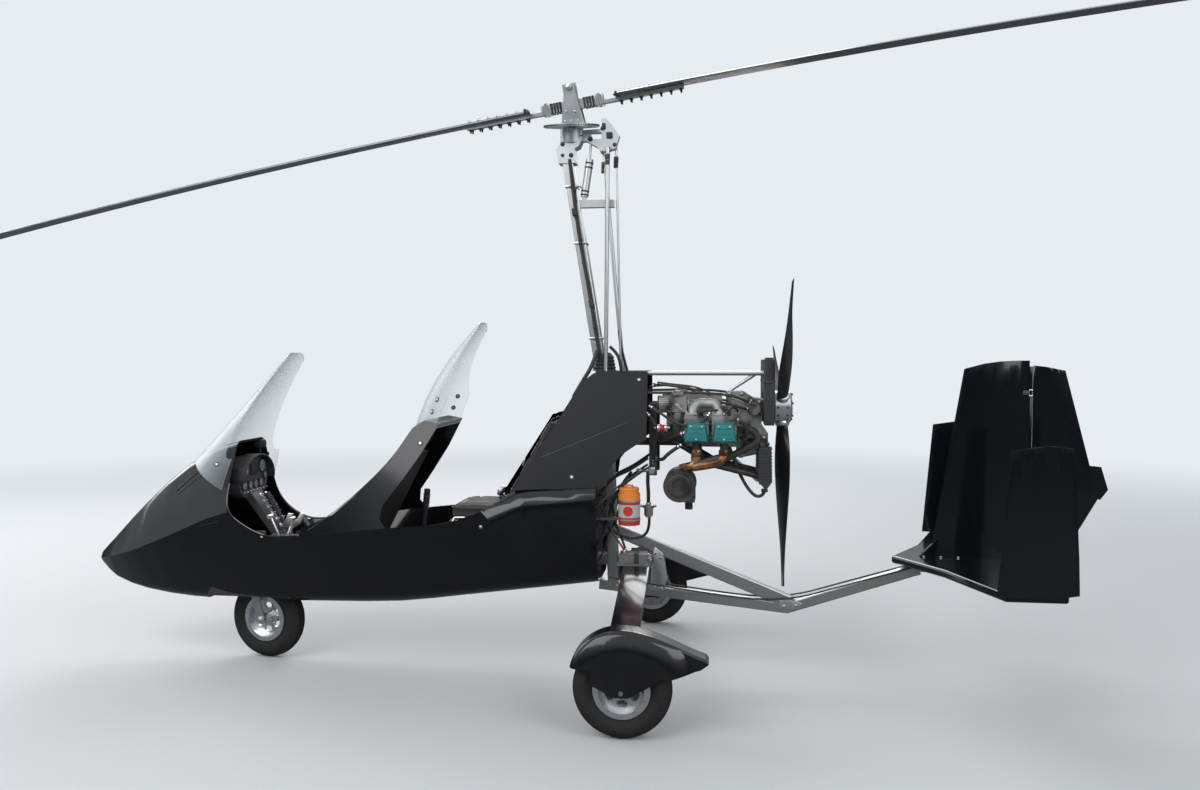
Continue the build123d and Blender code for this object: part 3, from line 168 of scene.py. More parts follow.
class Finish(Graph):
    """One procedural finish: a Principled shader and the nodes that feed it."""

    def __init__(self, name, colour, roughness, metallic=0.0, **sockets):
        self.name = name
        self.material = bpy.data.materials.new(name)
        self.material.use_nodes = True
        super().__init__(self.material.node_tree)
        self.shader = self.tree.nodes["Principled BSDF"]
        self.shader.inputs["Base Color"].default_value = (*colour, 1)
        self.shader.inputs["Roughness"].default_value = roughness
        self.shader.inputs["Metallic"].default_value = metallic
        for socket, value in sockets.items():
            self.shader.inputs[socket.replace("_", " ")].default_value = value

    def spot(self, stretch=(1, 1, 1)):
        """Object coordinates in metres, stretched along the axes."""
        here = self.node("ShaderNodeTexCoord", {}, {}, output="Object")
        return self.node("ShaderNodeMapping", {}, {"Vector": here, "Scale": stretch})

    def along(self, axis):
        """One object coordinate, in metres."""
        here = self.node("ShaderNodeTexCoord", {}, {}, output="Object")
        return self.node("ShaderNodeSeparateXYZ", {}, {0: here}, output=axis)

    def noise(self, scale, detail=3.0, stretch=(1, 1, 1)):
        """Cloudy pattern from 0 to 1."""
        sockets = {"Vector": self.spot(stretch), "Scale": scale, "Detail": detail}
        return self.node("ShaderNodeTexNoise", {}, sockets)

    def wave(self, scale, axis):
        """Bands across one axis, from 0 to 1."""
        sockets = {"Vector": self.spot(), "Scale": scale}
        return self.node("ShaderNodeTexWave", {"bands_direction": axis}, sockets)

    def blend(self, mask, dark, light):
        """Colour between two shades by a mask from 0 to 1."""
        shades = [shade if isinstance(shade, Signal) else (*shade, 1) for shade in (dark, light)]
        sockets = {0: mask, 6: shades[0], 7: shades[1]}
        return self.node("ShaderNodeMix", {"data_type": "RGBA"}, sockets, output=2)

    def ramp(self, mask, *stops):
        return self.node("ShaderNodeValToRGB", {"stops": stops}, {0: mask})

    def feed(self, socket, value):
        self.set(self.shader, socket, value)

    def grain(self, pattern, dark, light, smoothest, more):
        """One pattern for both: it shades the colour and adds to the roughness."""
        self.feed("Base Color", self.blend(pattern, dark, light))
        self.feed("Roughness", smoothest + pattern * more)

    def relief(self, height, depth, strength=1.0):
        """Bump from a height between 0 and 1, at a depth in metres."""
        sockets = {"Strength": strength, "Distance": depth, "Height": height}
        self.feed("Normal", self.node("ShaderNodeBump", {}, sockets))


print("classes for sockets, trees and finishes are ready")

# %% [markdown]
# A pale floor and a pale surround show a black craft best, and pale blue keeps bright metal apart
# from them. The surround lights the craft less than it shows, so colours stay as they are written.
# Far out, the floor takes on the surround's colour for the camera, so that no hard horizon cuts
# through the craft. Mirror rays see a dark ground below and the pale surround above, because black
# gloss is known by what it reflects. Large lamps then draw soft highlights along the hull.

# %% Surround, floor and lamps
scene = bpy.context.scene
scene.view_settings.view_transform = "Standard"
surround = bpy.data.worlds.new("surround")
scene.world = surround
surround.use_nodes = True
SURROUND_LIGHT = 0.5
SURROUND_COLOUR = (0.80, 0.84, 0.88)
MIRROR_GROUND = (0.030, 0.032, 0.036)
# heights of a mirrored ray's direction, from 0 level to 1 straight up, where the ground fades in
GROUND_START, GROUND_FULL = 0.42, 0.04

around = Graph(surround.node_tree)
by_camera, by_mirror, by_glass = around.rays()
shown = around.math("MAXIMUM", around.math("MAXIMUM", by_camera, by_mirror), by_glass)
strength = around.node("ShaderNodeMapRange", {}, {"Value": shown, "To Min": SURROUND_LIGHT})
backdrop = around.tree.nodes["Background"]
around.set(backdrop, "Color", (*SURROUND_COLOUR, 1))
around.set(backdrop, "Strength", strength)
heading = around.node("ShaderNodeTexCoord", {}, {}, output="Generated")
upward = around.node("ShaderNodeSeparateXYZ", {}, {0: heading}, output="Z")
mirrored = by_mirror * around.fade(upward, GROUND_START, GROUND_FULL)
sky = Signal(around, backdrop.outputs[0])
ground = around.node("ShaderNodeBackground", {}, {"Color": (*MIRROR_GROUND, 1)})
mixed = around.node("ShaderNodeMixShader", {}, {0: mirrored, 1: sky, 2: ground})
around.set(around.tree.nodes["World Output"], "Surface", mixed)

FLOOR_RADIUS = 60
FADE_START, FADE_END = 3.5, 13.0
MIRROR_DARKNESS = 0.8
bpy.ops.object.select_all(action="DESELECT")
bpy.ops.mesh.primitive_circle_add(
    vertices=96, radius=FLOOR_RADIUS, fill_type="NGON", location=(0, 0, -0.001)
)
floor = bpy.context.object
floor.name = "floor"
pale_floor = Finish("pale_floor", (0.60, 0.61, 0.62), 0.95)
lit = Signal(pale_floor, pale_floor.shader.outputs[0])
glow = pale_floor.node("ShaderNodeEmission", {}, {"Color": (*SURROUND_COLOUR, 1)})
dim = pale_floor.node("ShaderNodeEmission", {}, {"Color": (*MIRROR_GROUND, 1)})
length = {"operation": "LENGTH"}
distance = pale_floor.node("ShaderNodeVectorMath", length, {0: pale_floor.spot()}, output="Value")
by_camera, by_mirror, by_glass = pale_floor.rays()
faded = pale_floor.fade(distance, FADE_START, FADE_END) * pale_floor.math("MAXIMUM", by_camera, by_glass)
mixed = pale_floor.node("ShaderNodeMixShader", {}, {0: faded, 1: lit, 2: glow})
mirrored = by_mirror * MIRROR_DARKNESS
mixed = pale_floor.node("ShaderNodeMixShader", {}, {0: mirrored, 1: mixed, 2: dim})
pale_floor.set(pale_floor.tree.nodes["Material Output"], "Surface", mixed)
floor.data.materials.append(pale_floor.material)

# columns: place, size in metres, power in watts, point that the lamp faces
LAMPS = (
    ((-4.5, -6.5, 6.5), 6.5, 430, (-0.6, 0, 0.9)),
    ((5.5, -5.0, 4.5), 4.5, 190, (1.2, 0, 0.9)),
    ((-1.0, 7.0, 6.0), 6.0, 360, (0.0, 0, 0.8)),
    ((-8.5, 2.5, 5.0), 5.0, 330, (-1.5, 0, 0.9)),
)
for place, size, power, target in LAMPS:
    bpy.ops.object.light_add(type="AREA", location=place)
    lamp = bpy.context.object
    lamp.data.size = size
    lamp.data.energy = power
    lamp.rotation_mode = "QUATERNION"
    lamp.rotation_quaternion = (Vector(target) - Vector(place)).to_track_quat("-Z", "Y")
print("placed", len(LAMPS), "lamps")

# %% [markdown]
# The hull, fairings and tail are sprayed composite: nearly black, glossy under a clear coat, with
# the faint ripple that a moulded skin always has. A perfect mirror would look like glass, so the
# ripple and a trace of dust low down are what make it paint.

# %% Black paint and other composites
BLACK = (0.004, 0.0045, 0.006)
DUST_TOP, DUST_FULL = 0.7, 0.15
varnish = {"Specular_IOR_Level": 0.12, "Coat_Weight": 1.0, "Coat_Roughness": 0.10, "Coat_IOR": 1.45}
gloss_black = Finish("gloss_black", BLACK, 0.2, **varnish)
low_down = gloss_black.fade(gloss_black.along("Z"), DUST_TOP, DUST_FULL, smooth=False)
dust = gloss_black.noise(9, 6) * low_down
gloss_black.feed("Base Color", gloss_black.blend(dust * 0.3, BLACK, (0.035, 0.032, 0.027)))
gloss_black.feed("Roughness", 0.15 + gloss_black.noise(30, 4) * 0.12)
gloss_black.relief(gloss_black.noise(5, 1), 0.0012, 0.2)

dark_laminate = Finish("dark_laminate", (0.028, 0.028, 0.030), 0.6)
weave = dark_laminate.wave(120, "X") * dark_laminate.wave(120, "Z")
dark_laminate.feed("Base Color", dark_laminate.blend(weave, (0.020, 0.020, 0.022), (0.045, 0.045, 0.047)))
dark_laminate.feed("Roughness", 0.5 + dark_laminate.noise(40) * 0.25)
dark_laminate.relief(weave, 0.0006)

thin_coat = {"Specular_IOR_Level": 0.2, "Coat_Weight": 0.5, "Coat_Roughness": 0.1, "Coat_IOR": 1.35}
black_carbon = Finish("black_carbon", (0.010, 0.010, 0.011), 0.3, **thin_coat)
twill = black_carbon.wave(70, "DIAGONAL")
black_carbon.feed("Base Color", black_carbon.blend(twill, (0.006, 0.006, 0.007), (0.015, 0.015, 0.017)))
black_carbon.feed("Roughness", 0.22 + black_carbon.noise(25, 4) * 0.2)

panel_grey = Finish("panel_grey", (0.05, 0.05, 0.052), 0.55)
mottle = panel_grey.noise(60, 5)
panel_grey.feed("Base Color", panel_grey.blend(mottle, (0.035, 0.035, 0.037), (0.075, 0.075, 0.078)))
panel_grey.relief(panel_grey.noise(900, 2), 0.0003, 0.6)
composites = (gloss_black, dark_laminate, black_carbon, panel_grey)
print("painted composites:", *[finish.name for finish in composites])

# %% [markdown]
# The windshields are thin clear plastic, bent in one curve and open behind. Real refraction through
# so thin a wall only darkens what lies behind it, so the sheet is mostly see-through. It shows a faint
# pale film, and more of its pale colour where it turns edge on: a painted reflection of the pale
# surround. Its sawn edge is polished and catches the light, and that light is painted in as a pale
# highlight.

# %% Clear plastic
clear_glazing = Finish("clear_glazing", (0.60, 0.66, 0.70), 0.12, Alpha=0.3, IOR=1.45)
edge_on_reflection = clear_glazing.node("ShaderNodeLayerWeight", {}, {"Blend": 0.5}, output="Facing")
wipes = clear_glazing.noise(5, 5, (1, 1, 6))
clear_glazing.feed("Roughness", 0.28 + wipes * 0.1)
film = 0.05 + clear_glazing.noise(2.2, 3) * 0.05
# alpha shows the sheet's pale colour: a faint film everywhere, and edge on a painted reflection
clear_glazing.feed("Alpha", film + edge_on_reflection * edge_on_reflection * 0.5 + edge_on_reflection * 0.4)

# the edge's pale colour is a painted highlight, standing for the light a polished edge catches
painted_edge_highlight = Finish("painted_edge_highlight", (0.80, 0.84, 0.84), 0.15, Alpha=0.85, Coat_Weight=1.0)
painted_edge_highlight.feed("Roughness", 0.1 + painted_edge_highlight.noise(80) * 0.15)
print("clear plastic:", clear_glazing.name, painted_edge_highlight.name)

# %% [markdown]
# Metals differ in their grain more than in their colour. Drawn and brushed parts have long fine
# scratches, castings a sandy skin with random patches of oil, and anodised parts an even satin. Each
# grain feeds roughness first, because that is where a metal shows it.

# %% Metals
brushed_steel = Finish("brushed_steel", (0.58, 0.585, 0.58), 0.32, 1.0)
drawn = brushed_steel.noise(60, 4, (1, 14, 14))
brushed_steel.grain(drawn, (0.48, 0.49, 0.49), (0.74, 0.75, 0.75), 0.22, 0.3)
brushed_steel.relief(drawn, 0.0003, 0.5)

satin_aluminium = Finish("satin_aluminium", (0.50, 0.52, 0.54), 0.38, 0.9)
haze = satin_aluminium.noise(14, 6)
satin_aluminium.grain(haze, (0.48, 0.51, 0.53), (0.66, 0.69, 0.71), 0.3, 0.25)
satin_aluminium.relief(satin_aluminium.noise(400, 2), 0.0001, 0.4)

# the blades' dark grey is painted shade; the streaks are their real grain
blade_skin = Finish("blade_skin", (0.20, 0.21, 0.22), 0.35, 0.8)
streaks = blade_skin.noise(8, 5, (1, 6, 6))
blade_skin.grain(streaks, (0.13, 0.14, 0.15), (0.27, 0.28, 0.29), 0.25, 0.2)

silver_alloy = Finish("silver_alloy", (0.74, 0.76, 0.78), 0.25, 0.9)
polish = silver_alloy.noise(22, 5)
silver_alloy.grain(polish, (0.62, 0.645, 0.66), (0.82, 0.845, 0.86), 0.18, 0.22)

cast_alloy = Finish("cast_alloy", (0.36, 0.37, 0.37), 0.55, 0.75)
grime = cast_alloy.noise(16, 8)
oily, bare, bright = (0.06, 0.052, 0.045), (0.30, 0.30, 0.29), (0.46, 0.47, 0.47)
cast_alloy.feed("Base Color", cast_alloy.ramp(grime, (0.34, oily), (0.5, bare), (0.75, bright)))
cast_alloy.feed("Roughness", 0.42 + cast_alloy.noise(50) * 0.3)
cast_alloy.relief(cast_alloy.noise(350, 3), 0.0006, 0.7)

dark_steel = Finish("dark_steel", (0.06, 0.058, 0.058), 0.5, 0.6)
heat = dark_steel.noise(11, 5)
cool, warm, rusty = (0.035, 0.034, 0.036), (0.075, 0.07, 0.068), (0.13, 0.09, 0.065)
dark_steel.feed("Base Color", dark_steel.ramp(heat, (0.35, cool), (0.55, warm), (0.8, rusty)))
dark_steel.feed("Roughness", 0.4 + heat * 0.25)
dark_steel.relief(dark_steel.noise(220, 3), 0.0004, 0.5)

teal_paint = Finish("teal_paint", (0.012, 0.20, 0.19), 0.4)
crackle = teal_paint.noise(260, 2)
worn = teal_paint.noise(18, 5)
teal_paint.feed("Base Color", teal_paint.blend(worn, (0.008, 0.13, 0.13), (0.02, 0.27, 0.25)))
teal_paint.feed("Roughness", 0.32 + crackle * 0.2)
teal_paint.relief(crackle, 0.0006, 0.6)

black_matte = Finish("black_matte", (0.02, 0.02, 0.021), 0.65)
patches = black_matte.noise(20, 5)
black_matte.feed("Base Color", black_matte.blend(patches, (0.014, 0.014, 0.015), (0.04, 0.04, 0.041)))
black_matte.feed("Roughness", 0.5 + black_matte.noise(45) * 0.25)
black_matte.relief(black_matte.noise(500, 2), 0.0003, 0.5)
print("metals ready")

# %% [markdown]
# Rubber is dull and slightly grey where it has been on the road. The seats are woven cloth: two
# crossing waves of threads about two millimetres apart, darker between the threads.

# %% Rubber and cloth
tyre_rubber = Finish("tyre_rubber", (0.015, 0.015, 0.016), 0.8, Specular_IOR_Level=0.3)
road = tyre_rubber.noise(35, 6)
tyre_rubber.grain(road, (0.009, 0.009, 0.010), (0.026, 0.026, 0.026), 0.68, 0.2)
tyre_rubber.relief(tyre_rubber.noise(300, 3), 0.0005, 0.6)

seat_cloth = Finish("seat_cloth", (0.05, 0.048, 0.047), 0.9, Sheen_Weight=0.3)
threads = seat_cloth.wave(150, "X") * seat_cloth.wave(150, "Y")
shade = seat_cloth.noise(12, 4)
worn = threads * 0.6 + shade * 0.3
seat_cloth.feed("Base Color", seat_cloth.blend(worn, (0.022, 0.021, 0.021), (0.11, 0.105, 0.10)))
seat_cloth.feed("Roughness", 0.8 + threads * 0.15)
seat_cloth.relief(threads, 0.0008, 0.8)

hose_rubber = Finish("hose_rubber", (0.018, 0.018, 0.019), 0.6)
scuff = hose_rubber.noise(40, 5)
hose_rubber.grain(scuff, (0.012, 0.012, 0.013), (0.05, 0.048, 0.045), 0.45, 0.25)
hose_rubber.relief(hose_rubber.wave(90, "Z"), 0.0004, 0.4)

canister_red = Finish("canister_red", (0.42, 0.03, 0.012), 0.35, Coat_Weight=0.3)
# heights of the lid and the label, and the plain disc on the label
LID_FOOT = 0.885
LABEL_LOW, LABEL_HIGH = 0.812, 0.872
DISC_PLACE, LABEL_DISC_RADIUS = (0.318, -0.287, 0.843), 0.024
BRACKET_EDGE = 0.2655
height = canister_red.along("Z")
label = (height > LABEL_LOW) * (height < LABEL_HIGH)
here = canister_red.node("ShaderNodeTexCoord", {}, {}, output="Object")
apart = {"operation": "DISTANCE"}
disc = canister_red.node("ShaderNodeVectorMath", apart, {0: here, 1: DISC_PLACE}, output="Value")
paint = canister_red.blend(height > LID_FOOT, (0.40, 0.028, 0.012), (0.75, 0.22, 0.03))
paint = canister_red.blend(label, paint, (0.42, 0.43, 0.43))
paint = canister_red.blend(disc < LABEL_DISC_RADIUS, paint, (0.5, 0.03, 0.015))
bracket = canister_red.along("X") < BRACKET_EDGE
canister_red.feed("Base Color", canister_red.blend(bracket, paint, (0.05, 0.05, 0.052)))
canister_red.feed("Roughness", 0.3 + canister_red.noise(30, 4) * 0.2)

battery_grey = Finish("battery_grey", (0.12, 0.12, 0.125), 0.5)
clouds = battery_grey.noise(30, 5)
battery_grey.feed("Base Color", battery_grey.blend(clouds, (0.09, 0.09, 0.09), (0.17, 0.17, 0.17)))
battery_grey.relief(battery_grey.noise(500, 2), 0.0003, 0.5)
print("rubber, cloth and painted tins:", tyre_rubber.name, seat_cloth.name, canister_red.name)

# %% [markdown]
# Each solid names the finish it wants, as a slot in the frame's record. Rotor blades share the slot
# of other satin metal, but they get a darker grey of their own: painted shade, for real blades are
# silver-grey and look dark only in the shade beneath them.

# %% Finishes on the solids
SLOT_FINISHES = (
    hose_rubber,
    canister_red,
    battery_grey,
    *composites,
    clear_glazing,
    seat_cloth,
    tyre_rubber,
    silver_alloy,
    brushed_steel,
    dark_steel,
    satin_aluminium,
    cast_alloy,
    teal_paint,
    black_matte,
)
FINISHES = {finish.name: finish for finish in SLOT_FINISHES}
SLOTS = {row["node"]: row["material_slot"] for row in frame["record"]["subparts"]}
for node, slot in SLOTS.items():
    solid = frame["nodes"][node]
    finish = blade_skin if node.startswith("rotor_blade") else FINISHES[slot]
    solid.data.materials.clear()
    solid.data.materials.append(finish.material)
print("finished", len(SLOTS), "solids")

# %% [markdown]
# Everything small starts as one of Blender's own primitives and is then shaped: moved to an
# outline, spun, extruded, bevelled. An operator works on whatever is selected, so each tool
# first lets go of everything, or it would also change the piece before it.

# %% Modelling tools
UP = Vector((0, 0, 1))
# port and starboard, as the sign of Y
SIDES = (-1, 1)


def select_only(*chosen):
    bpy.ops.object.select_all(action="DESELECT")
    for one in chosen:
        one.select_set(True)
    bpy.context.view_layer.objects.active = chosen[0]


def settle(shape):
    """Bake an object's place, turn and scale into its mesh."""
    select_only(shape)
    bpy.ops.object.transform_apply(location=True, rotation=True, scale=True)
    return shape


def placed(shape, matrix):
    """Move a mesh by a matrix; a mirrored one gets its faces turned outwards again."""
    shape.data.transform(matrix)
    if matrix.determinant() < 0:
        shape.data.flip_normals()
    return shape


def soften(shape, width, steps=2):
    """Round every edge that turns by more than 40 degrees, with a modifier that is applied."""
    if not width:
        return shape
    select_only(shape)
    bpy.ops.object.modifier_add(type="BEVEL")
    rounding = shape.modifiers[-1]
    rounding.width = width
    rounding.segments = steps
    rounding.angle_limit = math.radians(40)
    bpy.ops.object.modifier_apply(modifier=rounding.name)
    return shape


def block(centre, size, rounding=0.002):
    bpy.ops.mesh.primitive_cube_add(size=1, location=centre, scale=size)
    return soften(settle(bpy.context.object), rounding)


def between(start, end):
    """Matrix that lays +Z along a run and puts the origin at its middle."""
    start, end = Vector(start), Vector(end)
    turn = (end - start).to_track_quat("Z", "Y").to_matrix().to_4x4()
    return Matrix.Translation((start + end) / 2) @ turn


def drum(start, end, radius, rounding=0.002, sides=28, end_radius=None):
    """Round bar between two points, or a cone where the far radius differs."""
    length = (Vector(end) - Vector(start)).length
    far_radius = radius if end_radius is None else end_radius
    bpy.ops.mesh.primitive_cone_add(vertices=sides, radius1=radius, radius2=far_radius, depth=length)
    return soften(placed(bpy.context.object, between(start, end)), rounding)


def upright(x, y, low, high, radius, rounding=0.001, sides=6):
    """Bolt head or round bar along Z."""
    return drum((x, y, low), (x, y, high), radius, rounding, sides)


def across(x, z, start, end, radius, rounding=0.001, sides=6):
    """Bolt head or round bar along Y."""
    return drum((x, start, z), (x, end, z), radius, rounding, sides)


def bar(start, end, width, height, rounding=0.002):
    """Flat bar between two points, its width level."""
    run = Vector(end) - Vector(start)
    side = run.cross(UP).normalized()
    if side.length < 0.5:
        side = Vector((0, 1, 0))
    turn = Matrix((side, side.cross(run.normalized()), run.normalized())).transposed().to_4x4()
    bpy.ops.mesh.primitive_cube_add(size=1, scale=(width, height, run.length))
    shape = settle(bpy.context.object)
    placed(shape, Matrix.Translation((Vector(start) + Vector(end)) / 2) @ turn)
    return soften(shape, rounding)


def ring_of(points):
    """Closed loop of edges through the points, from a circle's own vertices."""
    bpy.ops.mesh.primitive_circle_add(vertices=len(points))
    loop = bpy.context.object
    for vertex, point in zip(loop.data.vertices, points):
        vertex.co = point
    return loop


def edit(shape):
    """Open a shape for editing with all of it selected."""
    select_only(shape)
    bpy.ops.object.mode_set(mode="EDIT")
    bpy.ops.mesh.select_all(action="SELECT")


def close(shape):
    """Turn all faces outwards and leave edit mode."""
    bpy.ops.mesh.select_all(action="SELECT")
    bpy.ops.mesh.normals_make_consistent(inside=False)
    bpy.ops.object.mode_set(mode="OBJECT")
    return shape


def plate(outline, move, rounding=0.001):
    """Flat shape with an outline of points, thickened by a move."""
    shape = ring_of([Vector(point) for point in outline])
    edit(shape)
    bpy.ops.mesh.edge_face_add()
    bpy.ops.mesh.extrude_region_move(TRANSFORM_OT_translate={"value": move})
    return soften(close(shape), rounding)


def spun(profile, steps=48, turn=360.0):
    """Profile of radius and height points, spun about Z."""
    shape = ring_of([Vector((radius, 0, height)) for radius, height in profile])
    edit(shape)
    bpy.ops.mesh.spin(steps=steps, angle=math.radians(turn), center=(0, 0, 0), axis=(0, 0, 1))
    bpy.ops.mesh.select_all(action="SELECT")
    bpy.ops.mesh.remove_doubles(threshold=1e-5)
    return close(shape)


def hose(points, radius, sides=3):
    """Round hose along one smooth curve through a few control points."""
    route = bpy.data.curves.new("route", "CURVE")
    route.dimensions = "3D"
    spline = route.splines.new("NURBS")
    spline.points.add(len(points) - 1)
    for control, point in zip(spline.points, points):
        control.co = (*point, 1)
    spline.order_u = min(3, len(points))
    spline.use_endpoint_u = True
    spline.resolution_u = 8
    route.bevel_depth = radius
    route.bevel_resolution = sides
    route.use_fill_caps = True
    shape = bpy.data.objects.new("route", route)
    bpy.context.collection.objects.link(shape)
    select_only(shape)
    bpy.ops.object.convert(target="MESH")
    return bpy.context.object


def strap(line, width, side_y, thick=0.004):
    """Flat webbing: a line of X and Z points thickened, and as wide as a strap along Y."""
    back = [(x + thick, z + thick) for x, z in reversed(line)]
    outline = [(x, side_y - width / 2, z) for x, z in (*line, *back)]
    return plate(outline, (0, width, 0), 0)


def repeated(shape, matrices):
    """One copy of a shape per matrix, each with a mesh of its own; the model shape goes."""
    copies = []
    for matrix in matrices:
        twin = shape.copy()
        twin.data = shape.data.copy()
        bpy.context.collection.objects.link(twin)
        copies.append(placed(twin, matrix))
    bpy.data.objects.remove(shape)
    return copies


def row(count, first, step):
    """Evenly spaced numbers."""
    return [first + index * step for index in range(count)]


def turned(count, offset, start=0.0):
    """Matrices that set copies evenly round Z, each moved out by an offset first."""
    angles = row(count, start, math.tau / count)
    return [Matrix.Rotation(angle, 4, "Z") @ Matrix.Translation(offset) for angle in angles]


def piece(name, body, finish, *parts, smooth=35.0, slot=None):
    """Join parts into one named piece with a finish, riding on a body."""
    flat = []
    for part in parts:
        flat += part if isinstance(part, list) else [part]
    select_only(*flat)
    if len(flat) > 1:
        bpy.ops.object.join()
    made = flat[0]
    made.name = name
    made.data.name = name
    made.data.materials.clear()
    made.data.materials.append(finish.material)
    select_only(made)
    bpy.ops.object.shade_smooth_by_angle(angle=math.radians(smooth))
    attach(made, body)
    return made


def sliced(shape, place, way, cut=True):
    """Cut away what lies beyond a plane and close the cut, or only add points along it."""
    edit(shape)
    bpy.ops.mesh.bisect(plane_co=place, plane_no=way, use_fill=cut, clear_outer=cut)
    bpy.ops.object.mode_set(mode="OBJECT")
    return shape


def skinned(node, smooth=30.0):
    """Merged and smooth-shaded copy of a CAD solid that takes its place."""
    solid = frame["nodes"][node]
    skin = bpy.data.objects.new(node + "_skin", solid.data.copy())
    bpy.context.collection.objects.link(skin)
    edit(skin)
    bpy.ops.mesh.remove_doubles(threshold=2e-5)
    bpy.ops.object.mode_set(mode="OBJECT")
    if skin.data.has_custom_normals:
        bpy.ops.mesh.customdata_custom_splitnormals_clear()
    bpy.ops.object.shade_smooth_by_angle(angle=math.radians(smooth))
    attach(skin, solid["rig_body"])
    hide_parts(node)
    return skin


trees = {}


def skin_point(node, start, way):
    """Where a ray meets a CAD solid, and the surface's normal there."""
    if node not in trees:
        mesh = frame["nodes"][node].data
        corners = [vertex.co for vertex in mesh.vertices]
        trees[node] = BVHTree.FromPolygons(corners, [face.vertices for face in mesh.polygons])
    place, normal, _, _ = trees[node].ray_cast(Vector(start), Vector(way).normalized())
    if place is None:
        raise ValueError("no skin of " + node + " at " + str(start))
    return place, normal


print("modelling tools ready")

# %% [markdown]
# A CAD solid arrives in flat facets. Merging their shared corners and shading by angle turns them
# into sprayed composite without moving a point: only creases sharper than the angle stay crisp.

# %% Smooth skins
# node and the sharpest crease in degrees that still shades smooth
CREASES = {
    "hull": 65,
    "mid_fairing": 60,
    "rear_cowling": 40,
    "front_windshield": 50,
    "rear_windshield": 50,
    "wheel_fairing_left": 32,
    "wheel_fairing_right": 32,
    "gear_bow": 30,
    "stabiliser": 35,
    "fin_left": 35,
    "fin_right": 35,
    "centre_fin": 35,
    "rudder": 35,
    "rotor_blade_aft": 40,
    "rotor_blade_fore": 40,
    "propeller_blades": 40,
    "intake_tubes": 40,
    "coolant_hose": 50,
    "exhaust": 40,
    "muffler": 40,
}
skins = {node: skinned(node, crease) for node, crease in CREASES.items()}

# ahead of this X the hull keeps its creases, and behind it they are rolled over
CREASED_AHEAD_OF = -0.55
NOSE_CREASE = math.radians(30)
shell = bmesh.new()
shell.from_mesh(skins["hull"].data)
for edge in shell.edges:
    ahead = all(corner.co.x < CREASED_AHEAD_OF for corner in edge.verts)
    if ahead and len(edge.link_faces) == 2 and edge.calc_face_angle() > NOSE_CREASE:
        edge.smooth = False
shell.to_mesh(skins["hull"].data)
shell.free()
print("smoothed", len(CREASES), "skins")

# %% [markdown]
# A sheet sawn square looks like glass in a frame. The real windshields have round top corners and
# a bright edge, and the fins have arched ends, so planes trim the skins a little inside their
# solids. Each round corner is a few flat cuts that touch one circle.

# %% Trimmed edges
CORNER_RADIUS = 0.075
CORNER_CUTS = [math.radians(angle) for angle in range(19, 74, 9)]
# the front sheet ends on a line that climbs from the cockpit's rim to the top of the nose
NOSE_LINE, BELOW_NOSE_LINE = (-1.952, 0, 1.067), (-0.533, 0, -0.846)
# faces of the sheet's edge, painted pale as a highlight, turn no more than this sideways, or fore and aft
# along the top
SIDE_TURN, TOP_TURN = 0.12, 0.03
SIDE_FROM = 0.15


def resmooth(node):
    select_only(skins[node])
    bpy.ops.object.shade_smooth_by_angle(angle=math.radians(CREASES[node]))


sliced(skins["front_windshield"], NOSE_LINE, BELOW_NOSE_LINE)
for node in ("front_windshield", "rear_windshield"):
    skin = skins[node]
    top = max(vertex.co.z for vertex in skin.data.vertices)
    half = max(abs(vertex.co.y) for vertex in skin.data.vertices if vertex.co.z > top - 0.02)
    for side in SIDES:
        centre = Vector((0, side * (half - CORNER_RADIUS), top - CORNER_RADIUS))
        for angle in CORNER_CUTS:
            way = Vector((0, side * math.sin(angle), math.cos(angle)))
            sliced(skin, centre + way * CORNER_RADIUS, way)
    resmooth(node)
    # the edge faces get the pale painted highlight
    skin.data.materials.append(painted_edge_highlight.material)
    edge_faces = 0
    for face in skin.data.polygons:
        side_edge = abs(face.normal.y) < SIDE_TURN and abs(face.center.y) > SIDE_FROM
        top_edge = abs(face.normal.x) < TOP_TURN and face.center.z > top - CORNER_RADIUS
        if side_edge or top_edge:
            face.material_index = 1
            edge_faces += 1
    print(node, "half as wide as", round(half, 3), "at its top,", edge_faces, "edge faces")

# cuts in side view: a point and the direction that goes
CENTRE_CUTS = (
    ((1.905, 1.514), (-0.26, 0.97)),
    ((1.990, 1.537), (-0.14, 0.99)),
    ((2.090, 1.549), (-0.05, 1.0)),
)
RUDDER_CUTS = (
    ((2.350, 1.506), (0.20, 0.98)),
    ((2.290, 1.520), (0.12, 0.99)),
    ((2.240, 1.527), (0.06, 1.0)),
)
OUTER_CUTS = (
    ((1.950, 1.200), (-0.14, 0.99)),
    ((2.181, 1.202), (0.10, 0.99)),
    ((2.181, 0.612), (0.12, -0.99)),
)
# node, its cuts, and the radius that its moulded edges are rounded to
TAIL_EDGES = (
    ("stabiliser", (), 0.012),
    ("centre_fin", CENTRE_CUTS, 0.005),
    ("rudder", RUDDER_CUTS, 0.004),
    ("fin_left", OUTER_CUTS, 0.006),
    ("fin_right", OUTER_CUTS, 0.006),
)
FLAT_ENOUGH = math.radians(0.6)
for node, cuts, edge_radius in TAIL_EDGES:
    skin = skins[node]
    for (x, z), (way_x, way_z) in cuts:
        sliced(skin, (x, 0, z), (way_x, 0, way_z))
    edit(skin)
    bpy.ops.mesh.dissolve_limited(angle_limit=FLAT_ENOUGH)
    bpy.ops.object.mode_set(mode="OBJECT")
    soften(skin, edge_radius, 4)
    resmooth(node)
    print(node, "has", len(skin.data.polygons), "faces")

# %% [markdown]
# The wheel fairings are flat over the wheel and fall away towards the rim in a broad shoulder.
# Rows of new points across the skin let that shoulder be shaped by one formula: the further a
# point lies outside the flat disc, the further it moves in.

# %% Fairing shoulders
DISC_X, DISC_Z, DISC_RADIUS = 0.362, 0.1475, 0.225
SHOULDER_FOOT, SHOULDER_FACE = 0.865, 0.946
